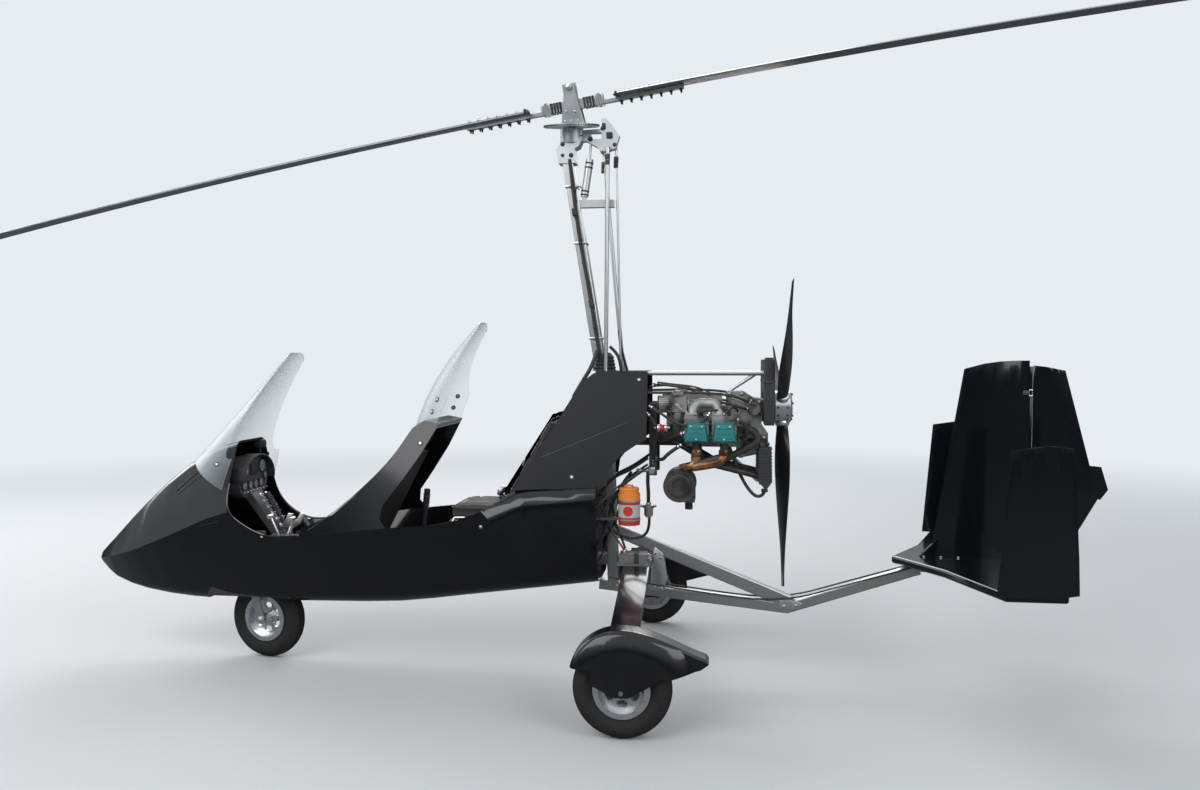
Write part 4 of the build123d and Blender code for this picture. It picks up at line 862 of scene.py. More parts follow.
# the shoulder falls by a slope and a curve, but never by more than this
SHOULDER_SLOPE, SHOULDER_CURVE, SHOULDER_MOST = 0.16, 2.4, 0.040
for node, side in (("wheel_fairing_left", -1), ("wheel_fairing_right", 1)):
    skin = skins[node]
    for x in row(24, 0.150, 0.024):
        sliced(skin, (x, 0, 0), (1, 0, 0), cut=False)
    for z in row(11, 0.200, 0.023):
        sliced(skin, (0, 0, z), (0, 0, 1), cut=False)
    for vertex in skin.data.vertices:
        beyond = math.hypot(vertex.co.x - DISC_X, vertex.co.z - DISC_Z) - DISC_RADIUS
        share = (abs(vertex.co.y) - SHOULDER_FOOT) / (SHOULDER_FACE - SHOULDER_FOOT)
        if beyond > 0 and share > 0:
            fall = SHOULDER_SLOPE * beyond + SHOULDER_CURVE * beyond**2
            vertex.co.y -= side * share * min(SHOULDER_MOST, fall)
    resmooth(node)
print("fairings fall by up to", SHOULDER_MOST)

# %% [markdown]
# Moulded edges are bound with a rubber bead and joints show as fine raised lines. A ray cast from
# outside finds the skin at each station, so a bead drawn in side view lies on the curved hull.

# %% Beads and seams
RIM_BEAD = 0.006
# X and Z of the cockpit rim in side view
RIM_STATIONS = (
    (-1.686, 0.935), (-1.686, 0.856), (-1.662, 0.790), (-1.603, 0.735), (-1.500, 0.681),
    (-1.405, 0.680), (-1.310, 0.691),
)


def on_skin(node, line, side, proud=0.0):
    """The points of a side-view line laid on a solid, seen from one side."""
    laid = []
    for x, z in line:
        place, _ = skin_point(node, (x, side * 2.0, z), (0, -side, 0))
        laid.append(place + Vector((0, side * proud, 0)))
    return laid


beads = []
for side in SIDES:
    rim = [(x - 0.004, z - RIM_BEAD) for x, z in RIM_STATIONS]
    laid = on_skin("hull", rim, side, -RIM_BEAD)
    beads.append(hose([point + UP * RIM_BEAD for point in laid], RIM_BEAD))
piece("cockpit_rim_bead", "airframe", gloss_black, *beads, slot="gloss_black")

# node and its seam in side view
SEAMS = (
    ("hull", ((-2.50, 0.546), (-2.30, 0.598), (-2.10, 0.655), (-1.90, 0.705), (-1.72, 0.752))),
    ("rear_cowling", ((-0.10, 1.090), (0.02, 1.140), (0.16, 1.195), (0.30, 1.255), (0.39, 1.292))),
    ("mid_fairing", ((-1.25, 0.722), (-1.11, 0.815), (-0.92, 0.985), (-0.84, 1.075))),
)
raised = []
for node, line in SEAMS:
    for side in SIDES:
        raised.append(hose(on_skin(node, line, side), 0.0022, 2))
piece("seam_lines", "airframe", gloss_black, *raised)

slots = []
for side in SIDES:
    line = ((-2.005, 0.868), (-1.965, 0.899), (-1.92, 0.932), (-1.88, 0.962), (-1.85, 0.984))
    slots.append(hose(on_skin("hull", line, side, -0.002), 0.0055, 3))
piece("hood_slots", "airframe", black_matte, *slots)
print("rim bead, seams and hood slots")

# %% [markdown]
# The windshields are held by screws through rubber washers, and the hull carries a few round
# fasteners. One screw is spun from a profile that dips in the middle, and then copied to every
# place along the surface's own normal.

# %% Screws
def facing(place, normal):
    return Matrix.Translation(place) @ normal.to_track_quat("Z", "Y").to_matrix().to_4x4()


# node, X and Z of each screw
SCREW_PLACES = (
    ("front_windshield", -1.735, 1.035),
    ("rear_windshield", -0.655, 1.300),
    ("rear_windshield", -0.630, 1.360),
    ("hull", -0.380, 0.762),
    ("mid_fairing", -0.700, 1.150),
    ("rear_cowling", 0.360, 1.460),
    ("rear_cowling", 0.050, 1.000),
)
spots = []
for node, x, z in SCREW_PLACES:
    for side in SIDES:
        place, normal = skin_point(node, (x, side * 2.0, z), (0, -side, 0))
        spots.append(facing(place, normal))
screw = spun(((0, 0), (0.008, 0), (0.008, 0.0016), (0.0056, 0.004), (0.002, 0.004), (0, 0.0024)), 20)
piece("skin_screws", "airframe", silver_alloy, repeated(screw, spots), slot="silver_alloy")
washer = spun(((0.007, -0.0005), (0.0125, -0.0005), (0.0125, 0.0012), (0.010, 0.0022), (0.007, 0.0022)), 20)
piece("screw_washers", "airframe", hose_rubber, repeated(washer, spots))
print("set", len(spots), "screws")

# %% [markdown]
# A narrow slot runs up each flank of the nose, just ahead of the windshield. Its points are found on
# the hull by rays from both sides, so it follows the skin.

# %% Nose slots
SLOT_FOOT, SLOT_RUN = (-2.020, 0.882), (0.158, 0.132)
climb = []
for share in row(5, 0, 0.25):
    climb.append((SLOT_FOOT[0] + SLOT_RUN[0] * share, SLOT_FOOT[1] + SLOT_RUN[1] * share))
slots = [hose(on_skin("hull", climb, side), 0.0045) for side in SIDES]
piece("nose_slots", "airframe", black_matte, *slots)
print("nose slots from", climb[0], "to", climb[-1])

# %% [markdown]
# A tyre is one profile spun about its axle: bead, bulging wall, shoulder and a crowned tread with
# three grooves. The grooves are part of the profile, which keeps their edges crisp all round.

# %% Tyres
AXLE_X, TRACK_HALF, AXLE_HEIGHT = 0.352, 0.872, 0.2075
# the nose fork turns about its pivot, and its wheel trails behind that
PIVOT_X, NOSE_HEADING, TRAIL = -1.659, math.radians(-11), 0.062
FORK = Matrix.Translation((PIVOT_X, 0, 0)) @ Matrix.Rotation(NOSE_HEADING, 4, "Z")
quarter_turn = Matrix.Rotation(math.pi / 2, 4, "X")
WHEEL_PLACES = {
    "left": Matrix.Translation((AXLE_X, -TRACK_HALF, AXLE_HEIGHT)) @ quarter_turn,
    "right": Matrix.Translation((AXLE_X, TRACK_HALF, AXLE_HEIGHT)) @ quarter_turn.inverted(),
    "nose": FORK @ Matrix.Translation((TRAIL, 0, AXLE_HEIGHT)) @ quarter_turn,
}
WHEEL_BODIES = {"left": "main_wheel_left", "right": "main_wheel_right", "nose": "nose_wheel"}

# half profile in millimetres: radius and distance from the middle plane
TYRE_HALF = (
    (200.5, 0), (200.5, 3.2), (207.0, 3.6), (206.2, 10), (204.2, 17), (198.6, 17.6), (198.2, 22.6),
    (202.2, 23.2), (198.0, 30), (191.5, 36.4), (184.0, 43.0), (180.0, 46.4), (171.0, 50.4),
    (168.0, 50.6), (166.5, 51.9), (161.0, 52.0), (150.0, 51.2), (148.5, 50.0), (139.0, 47.6),
    (130.0, 42.6), (123.0, 37.0), (103.0, 36.7),
)
half = [(radius / 1000, off / 1000) for radius, off in TYRE_HALF]
profile = half + [(radius, -off) for radius, off in reversed(half[1:])]
blank = spun(profile, 96)
for side, tyre in zip(WHEEL_PLACES, repeated(blank, WHEEL_PLACES.values())):
    made = piece(side + "_tyre_tread", WHEEL_BODIES[side], tyre_rubber, tyre, smooth=32, slot="tyre_rubber")
    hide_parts(side + "_tyre")
print("spun", len(WHEEL_PLACES), "tyres of", len(profile), "profile points")

# %% [markdown]
# The alloy wheels have six windows. Their solids get smooth skins and what is bolted on: a hub
# cap, a ring of wheel bolts and the valve, all turning with the wheel. The brake disc turns too,
# and its caliper stays with the leg.

# %% Rims
def hexagon_nut(radius, height, washer_radius=None):
    nut = drum((0, 0, 0), (0, 0, height), radius, radius * 0.12, 6)
    parts = [nut]
    if washer_radius:
        parts.append(drum((0, 0, 0), (0, 0, height * 0.2), washer_radius, 0.0004, 20))
    select_only(*parts)
    if len(parts) > 1:
        bpy.ops.object.join()
    return bpy.context.object


CAP_PROFILE = (
    (0.0115, 0.043), (0.031, 0.043), (0.033, 0.047), (0.030, 0.053), (0.017, 0.056), (0.0115, 0.056),
)
BAND_PROFILE = ((0.0968, -0.033), (0.1015, -0.033), (0.1015, -0.029), (0.0968, -0.029))
DISC_PROFILE = ((0.034, -0.049), (0.088, -0.049), (0.090, -0.047), (0.088, -0.044), (0.034, -0.044))
BOLT_CIRCLE, VALVE_CIRCLE = 0.044, 0.088
for side, place in WHEEL_PLACES.items():
    body = WHEEL_BODIES[side]
    skinned(side + "_rim", 40)
    bolt_turns = turned(6, (BOLT_CIRCLE, 0, 0.008), math.radians(15))
    bolts = repeated(hexagon_nut(0.0062, 0.006, 0.008), bolt_turns)
    dressing = [spun(CAP_PROFILE, 40), *bolts, upright(VALVE_CIRCLE, 0, 0.012, 0.042, 0.0035, sides=12)]
    for part in dressing:
        placed(part, place)
    piece(side + "_hub_cap", body, silver_alloy, *dressing, slot="silver_alloy")
    valve_cap = upright(VALVE_CIRCLE, 0, 0.042, 0.052, 0.0045, sides=12)
    piece(side + "_valve_cap", body, black_matte, placed(valve_cap, place))
    piece(side + "_rim_bead", body, satin_aluminium, placed(spun(BAND_PROFILE, 64), place))
for side in ("left", "right"):
    place, body = WHEEL_PLACES[side], WHEEL_BODIES[side]
    disc = placed(spun(DISC_PROFILE, 56), place)
    piece(side + "_brake_disc", body, brushed_steel, disc, slot="brushed_steel")
    # twelve drilled openings on two circles in turn, each filled by a black plug: painted shade where they
    # would show the dark space behind
    hole_turns = turned(6, (0.060, 0, 0)) + turned(6, (0.074, 0, 0), math.radians(30))
    hole_shade_plugs = repeated(upright(0, 0, -0.0495, -0.0435, 0.004, 0.0005, 10), hole_turns)
    piece(side + "_disc_holes", body, black_matte, *[placed(hole, place) for hole in hole_shade_plugs])
print("dressed", len(WHEEL_PLACES), "wheels")

# %% [markdown]
# A cushion is not a block with round edges: it swells in the middle and is drawn in where it is
# sewn. So each pad starts a little small, is remeshed into even squares, and cloth simulation
# blows it up like a bag. A cap on how far each point may move keeps it in its seat. The sewn
# channels are pressed in afterwards, since remeshing would have erased them.

# %% Padded seats
VOXEL = 0.0075
PRESSURE = 4.0
CLOTH_FRAMES = 20
# the pad starts smaller by the first value, swells by no more than the second, and is then crowned
SHRUNK, SWELL_CAP, CROWN = 0.014, 0.011, 0.006
# sewn channels: depth, half width across the pad and of the two along it, and where those two run
CHANNEL_DEPTH, CHANNEL_HALF, SIDE_HALF, SIDE_SHARE = 0.006, 0.006, 0.005, 0.32


def dip(distance, half):
    """Smooth channel: full depth at its middle, gone a little beyond its half width."""
    return CHANNEL_DEPTH * math.exp(-((distance / half) ** 2))


def puffed(width, length, thick, channels):
    """Pad centred on the origin: width along X, length along Y, front face up."""
    pad = block((0, 0, 0), (width - SHRUNK, length - SHRUNK, thick - SHRUNK), 0.016)
    select_only(pad)
    bpy.ops.object.modifier_add(type="REMESH")
    pad.modifiers[-1].mode = "VOXEL"
    pad.modifiers[-1].voxel_size = VOXEL
    bpy.ops.object.modifier_apply(modifier=pad.modifiers[-1].name)
    before = [vertex.co.copy() for vertex in pad.data.vertices]
    bpy.ops.object.modifier_add(type="CLOTH")
    cloth = pad.modifiers[-1]
    cloth.settings.use_pressure = True
    cloth.settings.uniform_pressure_force = PRESSURE
    cloth.settings.effector_weights.gravity = 0
    for step in range(CLOTH_FRAMES):
        scene.frame_set(step + 1)
    bpy.ops.object.modifier_apply(modifier=cloth.name)
    scene.frame_set(1)
    for vertex, start in zip(pad.data.vertices, before):
        push = vertex.co - start
        if push.length > SWELL_CAP:
            vertex.co = start + push.normalized() * SWELL_CAP
        crown = (1 - (2 * vertex.co.x / width) ** 2) * (1 - (2 * vertex.co.y / length) ** 2)
        if vertex.co.z > 0:
            vertex.co.z += CROWN * max(0, crown)
            for channel in channels:
                vertex.co.z -= dip(vertex.co.y - channel, CHANNEL_HALF)
            vertex.co.z -= dip(abs(vertex.co.x) - width * SIDE_SHARE, SIDE_HALF)
        else:
            vertex.co.z = max(vertex.co.z, -thick / 2)
    select_only(pad)
    bpy.ops.object.modifier_add(type="SUBSURF")
    bpy.ops.object.modifier_apply(modifier=pad.modifiers[-1].name)
    return pad


def piping(width, length, height):
    """Sewn cord round the edge of a pad's front face."""
    x, y = width / 2 - 0.006, length / 2 - 0.006
    corner = 0.03
    outline = []
    for turn_x, turn_y, start in ((x, y, 0), (-x, y, 90), (-x, -y, 180), (x, -y, 270)):
        for step in (0, 30, 60, 90):
            angle = math.radians(start + step)
            centre_x = math.copysign(abs(turn_x) - corner, turn_x)
            centre_y = math.copysign(abs(turn_y) - corner, turn_y)
            round_x, round_y = corner * math.cos(angle), corner * math.sin(angle)
            outline.append((centre_x + round_x, centre_y + round_y, height))
    outline.append(outline[0])
    return hose(outline, 0.0035, 2)


def seat_frame(foot, top):
    """Matrix whose Y runs up a seat back's middle and whose Z faces forward."""
    foot, top = Vector((foot[0], 0, foot[1])), Vector((top[0], 0, top[1]))
    rise = (top - foot).normalized()
    side = Vector((0, -1, 0))
    turn = Matrix((side, rise, side.cross(rise))).transposed().to_4x4()
    return Matrix.Translation((foot + top) / 2) @ turn


# node, foot and top in side view, width, length, thickness, channels along the length
BACKS = (
    ("front_back_pad", (-1.085, 0.575), (-0.800, 1.130), 0.340, 0.624, 0.050, (-0.14, -0.02, 0.10, 0.21)),
    ("rear_back_pad", (-0.280, 0.850), (-0.045, 1.265), 0.340, 0.477, 0.050, (-0.10, 0.0, 0.10)),
)
for node, foot, top, width, length, thick, channels in BACKS:
    place = seat_frame(foot, top)
    pad = placed(puffed(width, length, thick, channels), place)
    made = piece(node + "_padding", "airframe", seat_cloth, pad, smooth=60, slot="seat_cloth")
    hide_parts(node)
    cord = piping(width, length, thick / 2 - 0.008)
    piece(node + "_piping", "airframe", black_matte, placed(cord, place))
for node, channels in (("front_seat_cushion", (-0.05, 0.04)), ("rear_seat_cushion", (-0.06, 0.04))):
    low_corner, high_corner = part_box(node)
    size = high_corner - low_corner
    turn = Matrix.Translation((low_corner + high_corner) / 2) @ Matrix.Rotation(math.radians(90), 4, "Z")
    pad = placed(puffed(size.y, size.x, size.z, channels), turn)
    made = piece(node + "_padding", "airframe", seat_cloth, pad, smooth=60, slot="seat_cloth")
    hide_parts(node)
    cord = piping(size.y, size.x, size.z / 2 - 0.01)
    piece(node + "_piping", "airframe", black_matte, placed(cord, turn))
print("padded 4 seat parts")

# %% [markdown]
# Four-point harnesses: two shoulder straps come over each backrest and meet the lap straps in a
# round buckle. Webbing is flat, so it is drawn from the side and given its width afterwards.

# %% Harnesses
belts, buckles = [], []
# side-view lines of a shoulder strap and a lap strap, and the buckle's place
HARNESSES = (
    (
        (
            (-0.800, 1.170), (-0.822, 1.155), (-0.870, 1.060),
            (-0.960, 0.885), (-1.060, 0.690), (-1.120, 0.640),
        ),
        ((-1.030, 0.585), (-1.085, 0.605), (-1.120, 0.632)),
        (-1.128, 0.640),
    ),
    (
        (
            (-0.052, 1.290), (-0.075, 1.285), (-0.130, 1.190),
            (-0.215, 1.040), (-0.290, 0.915), (-0.330, 0.885),
        ),
        ((-0.250, 0.855), (-0.300, 0.868), (-0.332, 0.880)),
        (-0.340, 0.886),
    ),
)
for shoulder, lap, buckle in HARNESSES:
    for side in SIDES:
        belts.append(strap(shoulder, 0.045, side * 0.075, 0.003))
        belts.append(strap(lap, 0.045, side * 0.12, 0.003))
        lap_end = (lap[-1][0], side * 0.13, lap[-1][1])
        belts.append(bar(lap_end, (buckle[0], side * 0.02, buckle[1]), 0.004, 0.04, 0.001))
        adjuster = Vector((shoulder[3][0], side * 0.075, shoulder[3][1]))
        low_end = adjuster + Vector((-0.008, 0, -0.012))
        buckles.append(bar(low_end, adjuster + Vector((0.004, 0, 0.028)), 0.052, 0.008, 0.002))
    centre = Vector((buckle[0] - 0.006, 0, buckle[1]))
    ahead = Vector((-0.85, 0, 0.5)).normalized()
    buckles.append(drum(centre, centre + ahead * 0.02, 0.028, 0.004, 32))
    buckles.append(drum(centre + ahead * 0.019, centre + ahead * 0.026, 0.014, 0.002, 24))
piece("harness_webbing", "airframe", black_matte, *belts, slot="black_matte")
piece("harness_buckles", "airframe", satin_aluminium, *buckles, slot="satin_aluminium")
print("harnesses with", len(buckles), "metal parts")

# %% [markdown]
# The instrument panel faces the pilot, so its dials look aft. One gauge is a spun bezel, a
# black face, a pointer and a lens; its marks are plain ticks. Repeating it at three sizes fills
# the panel the way the real one is filled, big flight dials above and small engine dials below.

# %% Instrument panel
PANEL_AFT = -1.680
facing_aft = Matrix.Rotation(math.radians(90), 4, "Y")

white_marks = Finish("white_marks", (0.8, 0.8, 0.78), 0.5)
white_marks.feed("Roughness", 0.4 + white_marks.noise(80) * 0.2)
lens_glass = Finish("lens_glass", (0.7, 0.75, 0.8), 0.05, Alpha=0.18, Coat_Weight=1.0)
lens_glass.feed("Roughness", 0.03 + lens_glass.noise(20) * 0.05)
screen_blue = Finish("screen_blue", (0.02, 0.035, 0.05), 0.15, Coat_Weight=0.8)
upper_part = screen_blue.along("Z") > 0.965
screen_blue.feed("Base Color", screen_blue.blend(upper_part, (0.02, 0.03, 0.03), (0.03, 0.06, 0.09)))

# Y, Z, radius, pointer angle
GAUGES = (
    (-0.090, 0.992, 0.036, 40),
    (0.090, 0.992, 0.036, 200),
    (-0.105, 0.912, 0.028, 120),
    (-0.040, 0.905, 0.024, 300),
    (0.015, 0.905, 0.024, 70),
    (0.072, 0.905, 0.024, 250),
    (0.120, 0.940, 0.020, 160),
)
BEZEL_SHARES = ((0.84, 0.0005), (1, 0.0005), (1, 0.006), (0.93, 0.009), (0.84, 0.006))
LENS_SHARES = ((0, 0.0052), (0.84, 0.0052), (0.84, 0.006), (0, 0.0072))
NEEDLE_SHARES = ((0, -0.001), (0.62, 0), (0, 0.001), (-0.15, 0))
bezels, faces, marks, lenses = [], [], [], []
for y, z, radius, angle in GAUGES:
    place = Matrix.Translation((PANEL_AFT, y, z)) @ facing_aft
    bezels.append(placed(spun([(radius * share, rise) for share, rise in BEZEL_SHARES], 40), place))
    lenses.append(placed(spun([(radius * share, rise) for share, rise in LENS_SHARES], 40), place))
    faces.append(placed(upright(0, 0, 0.0003, 0.003, radius * 0.86, 0.0003, 40), place))
    # eleven of twelve places get a tick, and the gap is where the scale begins
    tick = block((0, 0, 0), (radius * 0.16, radius * 0.035, 0.0008), 0.0001)
    ticks = repeated(tick, turned(12, (radius * 0.7, 0, 0.0033))[:11])
    needle = plate([(radius * share, y_off, 0.004) for share, y_off in NEEDLE_SHARES], (0, 0, 0.0008), 0)
    placed(needle, Matrix.Rotation(math.radians(angle), 4, "Z"))
    marks += [placed(mark, place) for mark in (*ticks, needle)]
piece("gauge_bezels", "airframe", black_matte, *bezels)
piece("gauge_faces", "airframe", panel_grey, *faces)
piece("gauge_marks", "airframe", white_marks, *marks)
piece("gauge_lenses", "airframe", lens_glass, *lenses)

screen = block((PANEL_AFT + 0.004, 0.0, 0.985), (0.012, 0.078, 0.056), 0.004)
piece("panel_display_case", "airframe", black_matte, screen)
GLASS_X = PANEL_AFT + 0.0062
corners = ((-0.034, 0.962), (0.034, 0.962), (0.034, 1.008), (-0.034, 1.008))
glass = plate([(GLASS_X, y, z) for y, z in corners], (0.0012, 0, 0), 0.0004)
piece("panel_display", "airframe", screen_blue, glass)

NUT_FACE = PANEL_AFT + 0.006
knobs = []
for y in row(7, -0.105, 0.035):
    knobs.append(drum((PANEL_AFT, y, 0.868), (NUT_FACE, y, 0.868), 0.007, 0.001, 6))
    knobs.append(drum((NUT_FACE, y, 0.868), (PANEL_AFT + 0.022, y, 0.876), 0.0022, 0.0008, 12, 0.0032))
piece("panel_switches", "airframe", silver_alloy, *knobs, slot="silver_alloy")

# hood over the panel, open towards the pilot: an arch between two half rounds
HOOD_START, HOOD_HEIGHT = PANEL_AFT - 0.035, 0.945


def arch(half_width, rise):
    angles = [math.radians(angle) for angle in row(13, -10, 200 / 12)]
    sides = [(half_width * math.cos(angle), rise * math.sin(angle)) for angle in angles]
    return [(HOOD_START, y, HOOD_HEIGHT + up) for y, up in sides]


outer, inner = arch(0.166, 0.118), arch(0.158, 0.110)
hood = plate(outer + inner[::-1], (0.075, 0, 0), 0.002)
piece("panel_hood", "airframe", dark_laminate, hood, slot="dark_laminate")

# console strip with its switch rows
strip = []
run_start, run_end = Vector((-1.668, 0, 0.872)), Vector((-1.500, 0, 0.632))
run = run_end - run_start
normal = Vector((-run.z, 0, run.x)).normalized()
downwards = run.normalized()
for share in row(6, 0.14, 0.13):
    for y in (-0.030, 0.030):
        foot = run_start + run * share + normal * 0.022 + Vector((0, y, 0))
        strip.append(bar(foot - downwards * 0.009, foot + downwards * 0.009, 0.022, 0.006, 0.0015))
        tip = foot + normal * 0.004
        strip.append(drum(tip, tip + normal * 0.012 + downwards * 0.004, 0.003, 0.001, 10))
piece("console_switches", "airframe", satin_aluminium, *strip, slot="satin_aluminium")

# compass pod on its stalk, at the starboard end of the hood
stalk_foot = Vector((PANEL_AFT - 0.020, 0.120, 1.055))
pod_centre = stalk_foot + Vector((-0.004, 0.004, 0.050))
pod = [
    drum(stalk_foot, pod_centre - UP * 0.020, 0.006, 0.001, 14),
    block(pod_centre, (0.050, 0.056, 0.044), 0.010),
    drum(pod_centre + Vector((0.022, 0, 0)), pod_centre + Vector((0.030, 0, 0)), 0.018, 0.002, 28),
]
piece("compass_pod", "airframe", black_matte, *pod, slot="black_matte")
print("panel with", len(GAUGES), "gauges")

# %% [markdown]
# The sticks get moulded grips, and between the seats lie the levers and pale brackets that show
# over the rim. The rear footwell has a second throttle on its port wall.

# %% Sticks and levers
# the elbow and the tip of each stick
STICKS = (((-1.480, 0, 0.640), (-1.602, 0, 0.846)), ((-0.760, 0, 0.700), (-0.742, 0, 0.880)))
grips = []
for elbow, tip in STICKS:
    tip = Vector(tip)
    way = (tip - Vector(elbow)).normalized()
    for below in row(6, 0.088, -0.014):
        start = tip - way * below
        grips.append(drum(start, start + way * 0.008, 0.0185, 0.003, 24))
    grips.append(drum(tip - way * 0.004, tip + way * 0.014, 0.016, 0.005, 24))
piece("stick_grips", "airframe", hose_rubber, *grips)


def bellows(neck, foot, top, fold, step, folds):
    """Profile of a folded boot: one fold's points, repeated with a step of radius and height."""
    profile = [(neck, foot)]
    for index in range(folds):
        for radius, rise in fold:
            profile.append((radius + index * step[0], foot + rise + index * step[1]))
    return [*profile, (neck, top)]


# boots at the sticks' feet
boots = []
for x, z in ((-1.432, 0.612), (-0.737, 0.398)):
    boot = bellows(0.013, z, z + 0.048, ((0.030, 0), (0.024, 0.004)), (-0.0025, 0.008), 6)
    boots.append(placed(spun(boot, 32), Matrix.Translation((x, 0, 0))))
piece("stick_boots", "airframe", hose_rubber, *boots)

# lever box on the port wall beside the front seat, its two levers and a pale bracket
LEVER_Y = -0.235
lever_box = block((-1.385, LEVER_Y, 0.640), (0.180, 0.050, 0.090), 0.008)
piece("lever_box", "airframe", dark_laminate, lever_box, slot="dark_laminate")
levers = []
for foot_x, tip_x, tip_z in ((-1.43, -1.475, 0.775), (-1.37, -1.360, 0.765)):
    levers.append(drum((foot_x, LEVER_Y, 0.675), (tip_x, LEVER_Y, tip_z), 0.006, 0.001, 14))
    levers.append(across(tip_x, tip_z, LEVER_Y - 0.020, LEVER_Y + 0.020, 0.011, 0.003, 20))
BRACKET_OUTLINE = (
    (-1.475, 0.700), (-1.440, 0.772), (-1.415, 0.768), (-1.430, 0.735), (-1.395, 0.742),
    (-1.372, 0.778), (-1.352, 0.770), (-1.375, 0.720), (-1.420, 0.690),
)
levers.append(plate([(x, -0.110, z) for x, z in BRACKET_OUTLINE], (0, 0.008, 0), 0.002))
# thin rods: two that hold the bracket, and the stem of the rear throttle
for start, end in (
    ((-1.430, -0.107, 0.700), (-1.425, -0.180, 0.650)),
    ((-1.425, -0.180, 0.650), (-1.425, -0.215, 0.645)),
    ((-0.530, -0.245, 0.790), (-0.570, -0.262, 0.700)),
):
    levers.append(drum(start, end, 0.006, 0.001, 12))
levers.append(block((-0.505, -0.245, 0.790), (0.055, 0.014, 0.010), 0.004))
levers.append(block((-0.572, -0.262, 0.690), (0.06, 0.020, 0.05), 0.004))
piece("cockpit_levers", "airframe", silver_alloy, *levers, slot="silver_alloy")
print("sticks and levers")

# %% [markdown]
# The rotor head is all bolts and clamps. Each part is built flat, at the teeter bolt, and one
# matrix then leans it with the hub: a roll with the head and a tilt with the blades.

# %% Rotor hub
HEAD_ROLL, BLADE_TILT = math.radians(10), math.radians(-9.0)
HEAD = Matrix.Translation((0.010, 0, 2.665)) @ Matrix.Rotation(HEAD_ROLL, 4, "X")
TEETER = HEAD @ Matrix.Translation((0, 0, 0.224)) @ Matrix.Rotation(BLADE_TILT, 4, "Y")
# heights under the teeter bolt
BAR_LOW, NUT_FOOT = -0.104, -0.066
LINK_LOW, LINK_HIGH = -0.101, -0.062


def all_placed(parts, matrix):
    return [placed(part, matrix) for part in parts]


# pairs of bolts that clamp the bar under each blade
bolt = hexagon_nut(0.0075, 0.008, 0.010)
shank = upright(0, 0, 0.004, 0.018, 0.0042, 0.0008, 12)
select_only(bolt, shank)
bpy.ops.object.join()
hanging, capped = [], []
upside_down = Matrix.Rotation(math.pi, 4, "X")
for side in SIDES:
    for out in row(7, 0.236, 0.049):
        for y in (-0.022, 0.022):
            hanging.append(TEETER @ Matrix.Translation((side * out, y, BAR_LOW)) @ upside_down)
            capped.append(TEETER @ Matrix.Translation((side * out, y, NUT_FOOT)) @ Matrix.Scale(0.8, 4))
spare = bolt.copy()
spare.data = bolt.data.copy()
bpy.context.collection.objects.link(spare)
piece("hub_bar_bolts", "rotor", dark_steel, repeated(bolt, hanging), slot="dark_steel")
piece("hub_bar_nuts", "rotor", brushed_steel, repeated(spare, capped))

# clamp straps, and the bolts between them with a head above and a nut below
straps, links = [], []
for side in SIDES:
    for out in (0.150, 0.132, 0.114):
        straps.append(block((side * out, 0, -0.082), (0.007, 0.084, 0.060), 0.002))
    for out in row(4, 0.060, 0.0145):
        for y in (-0.036, 0.036):
            links.append(upright(side * out, y, LINK_LOW, LINK_HIGH, 0.0052, 0.0015, 14))
            links.append(upright(side * out, y, LINK_HIGH - 0.002, LINK_HIGH + 0.005, 0.0068, 0.0012))
            links.append(upright(side * out, y, LINK_LOW - 0.007, LINK_LOW, 0.0068, 0.0012))
piece("hub_clamp_straps", "rotor", satin_aluminium, *all_placed(straps, TEETER), slot="satin_aluminium")
piece("hub_links", "rotor", dark_steel, *all_placed(links, TEETER), slot="dark_steel")

WASHER_START = 0.0572
bolt_ends = []
for side in SIDES:
    washer_face = side * (WASHER_START + 0.003)
    bolt_ends.append(across(0, 0, side * WASHER_START, washer_face, 0.017, 0.0008, 28))
    bolt_ends.append(across(0, 0, washer_face, washer_face + side * 0.011, 0.0125, 0.002))
piece("teeter_bolt_nuts", "rotor", silver_alloy, *all_placed(bolt_ends, TEETER), slot="silver_alloy")

# a bonded metal cap where each blade's root meets the grips
caps = [block((side * 0.224, -0.040, -0.0765), (0.012, 0.170, 0.022), 0.003) for side in SIDES]
piece("blade_root_caps", "rotor", dark_steel, *all_placed(caps, TEETER))
print("hub with", len(hanging), "clamp bolts")

# %% [markdown]
# The starter ring has teeth all round, so one tooth is shaped and copied by an angle. The ring
# turns with the tower, while the torque tube's bolts and rubber stops stay with the mast.

# %% Ring gear and head
TEETH = 96
TOOTH_FOOT, TOOTH_LENGTH, TOOTH_LOW = 0.1345, 0.0047, 0.0405
tooth_outline = ((0, -0.0026), (0, 0.0026), (TOOTH_LENGTH, 0.0012), (TOOTH_LENGTH, -0.0012))
tooth = plate([(x, y, TOOTH_LOW) for x, y in tooth_outline], (0, 0, 0.007), 0)
teeth = all_placed(repeated(tooth, turned(TEETH, (TOOTH_FOOT, 0, 0))), HEAD)
piece("ring_gear_teeth", "rotor_mast_top", dark_steel, *teeth, slot="dark_steel")
ring_bolts = repeated(hexagon_nut(0.005, 0.004, 0.007), turned(10, (0.094, 0, 0.050)))
ring_rim = spun(((0.108, 0.0498), (0.118, 0.0498), (0.118, 0.0518), (0.108, 0.0518)), 72)
piece("ring_gear_bolts", "rotor_mast_top", brushed_steel, *all_placed((*ring_bolts, ring_rim), HEAD))
CHEEK = 0.057
cheek_bolts = []
for side in SIDES:
    for x, z in ((-0.022, 0.066), (0.010, 0.066), (0.042, 0.066), (-0.016, 0.110), (0.026, 0.110)):
        cheek_bolts.append(across(x, z, side * CHEEK, side * (CHEEK + 0.006), 0.006))
piece("cheek_bolts", "rotor_mast_top", brushed_steel, *all_placed(cheek_bolts, HEAD))

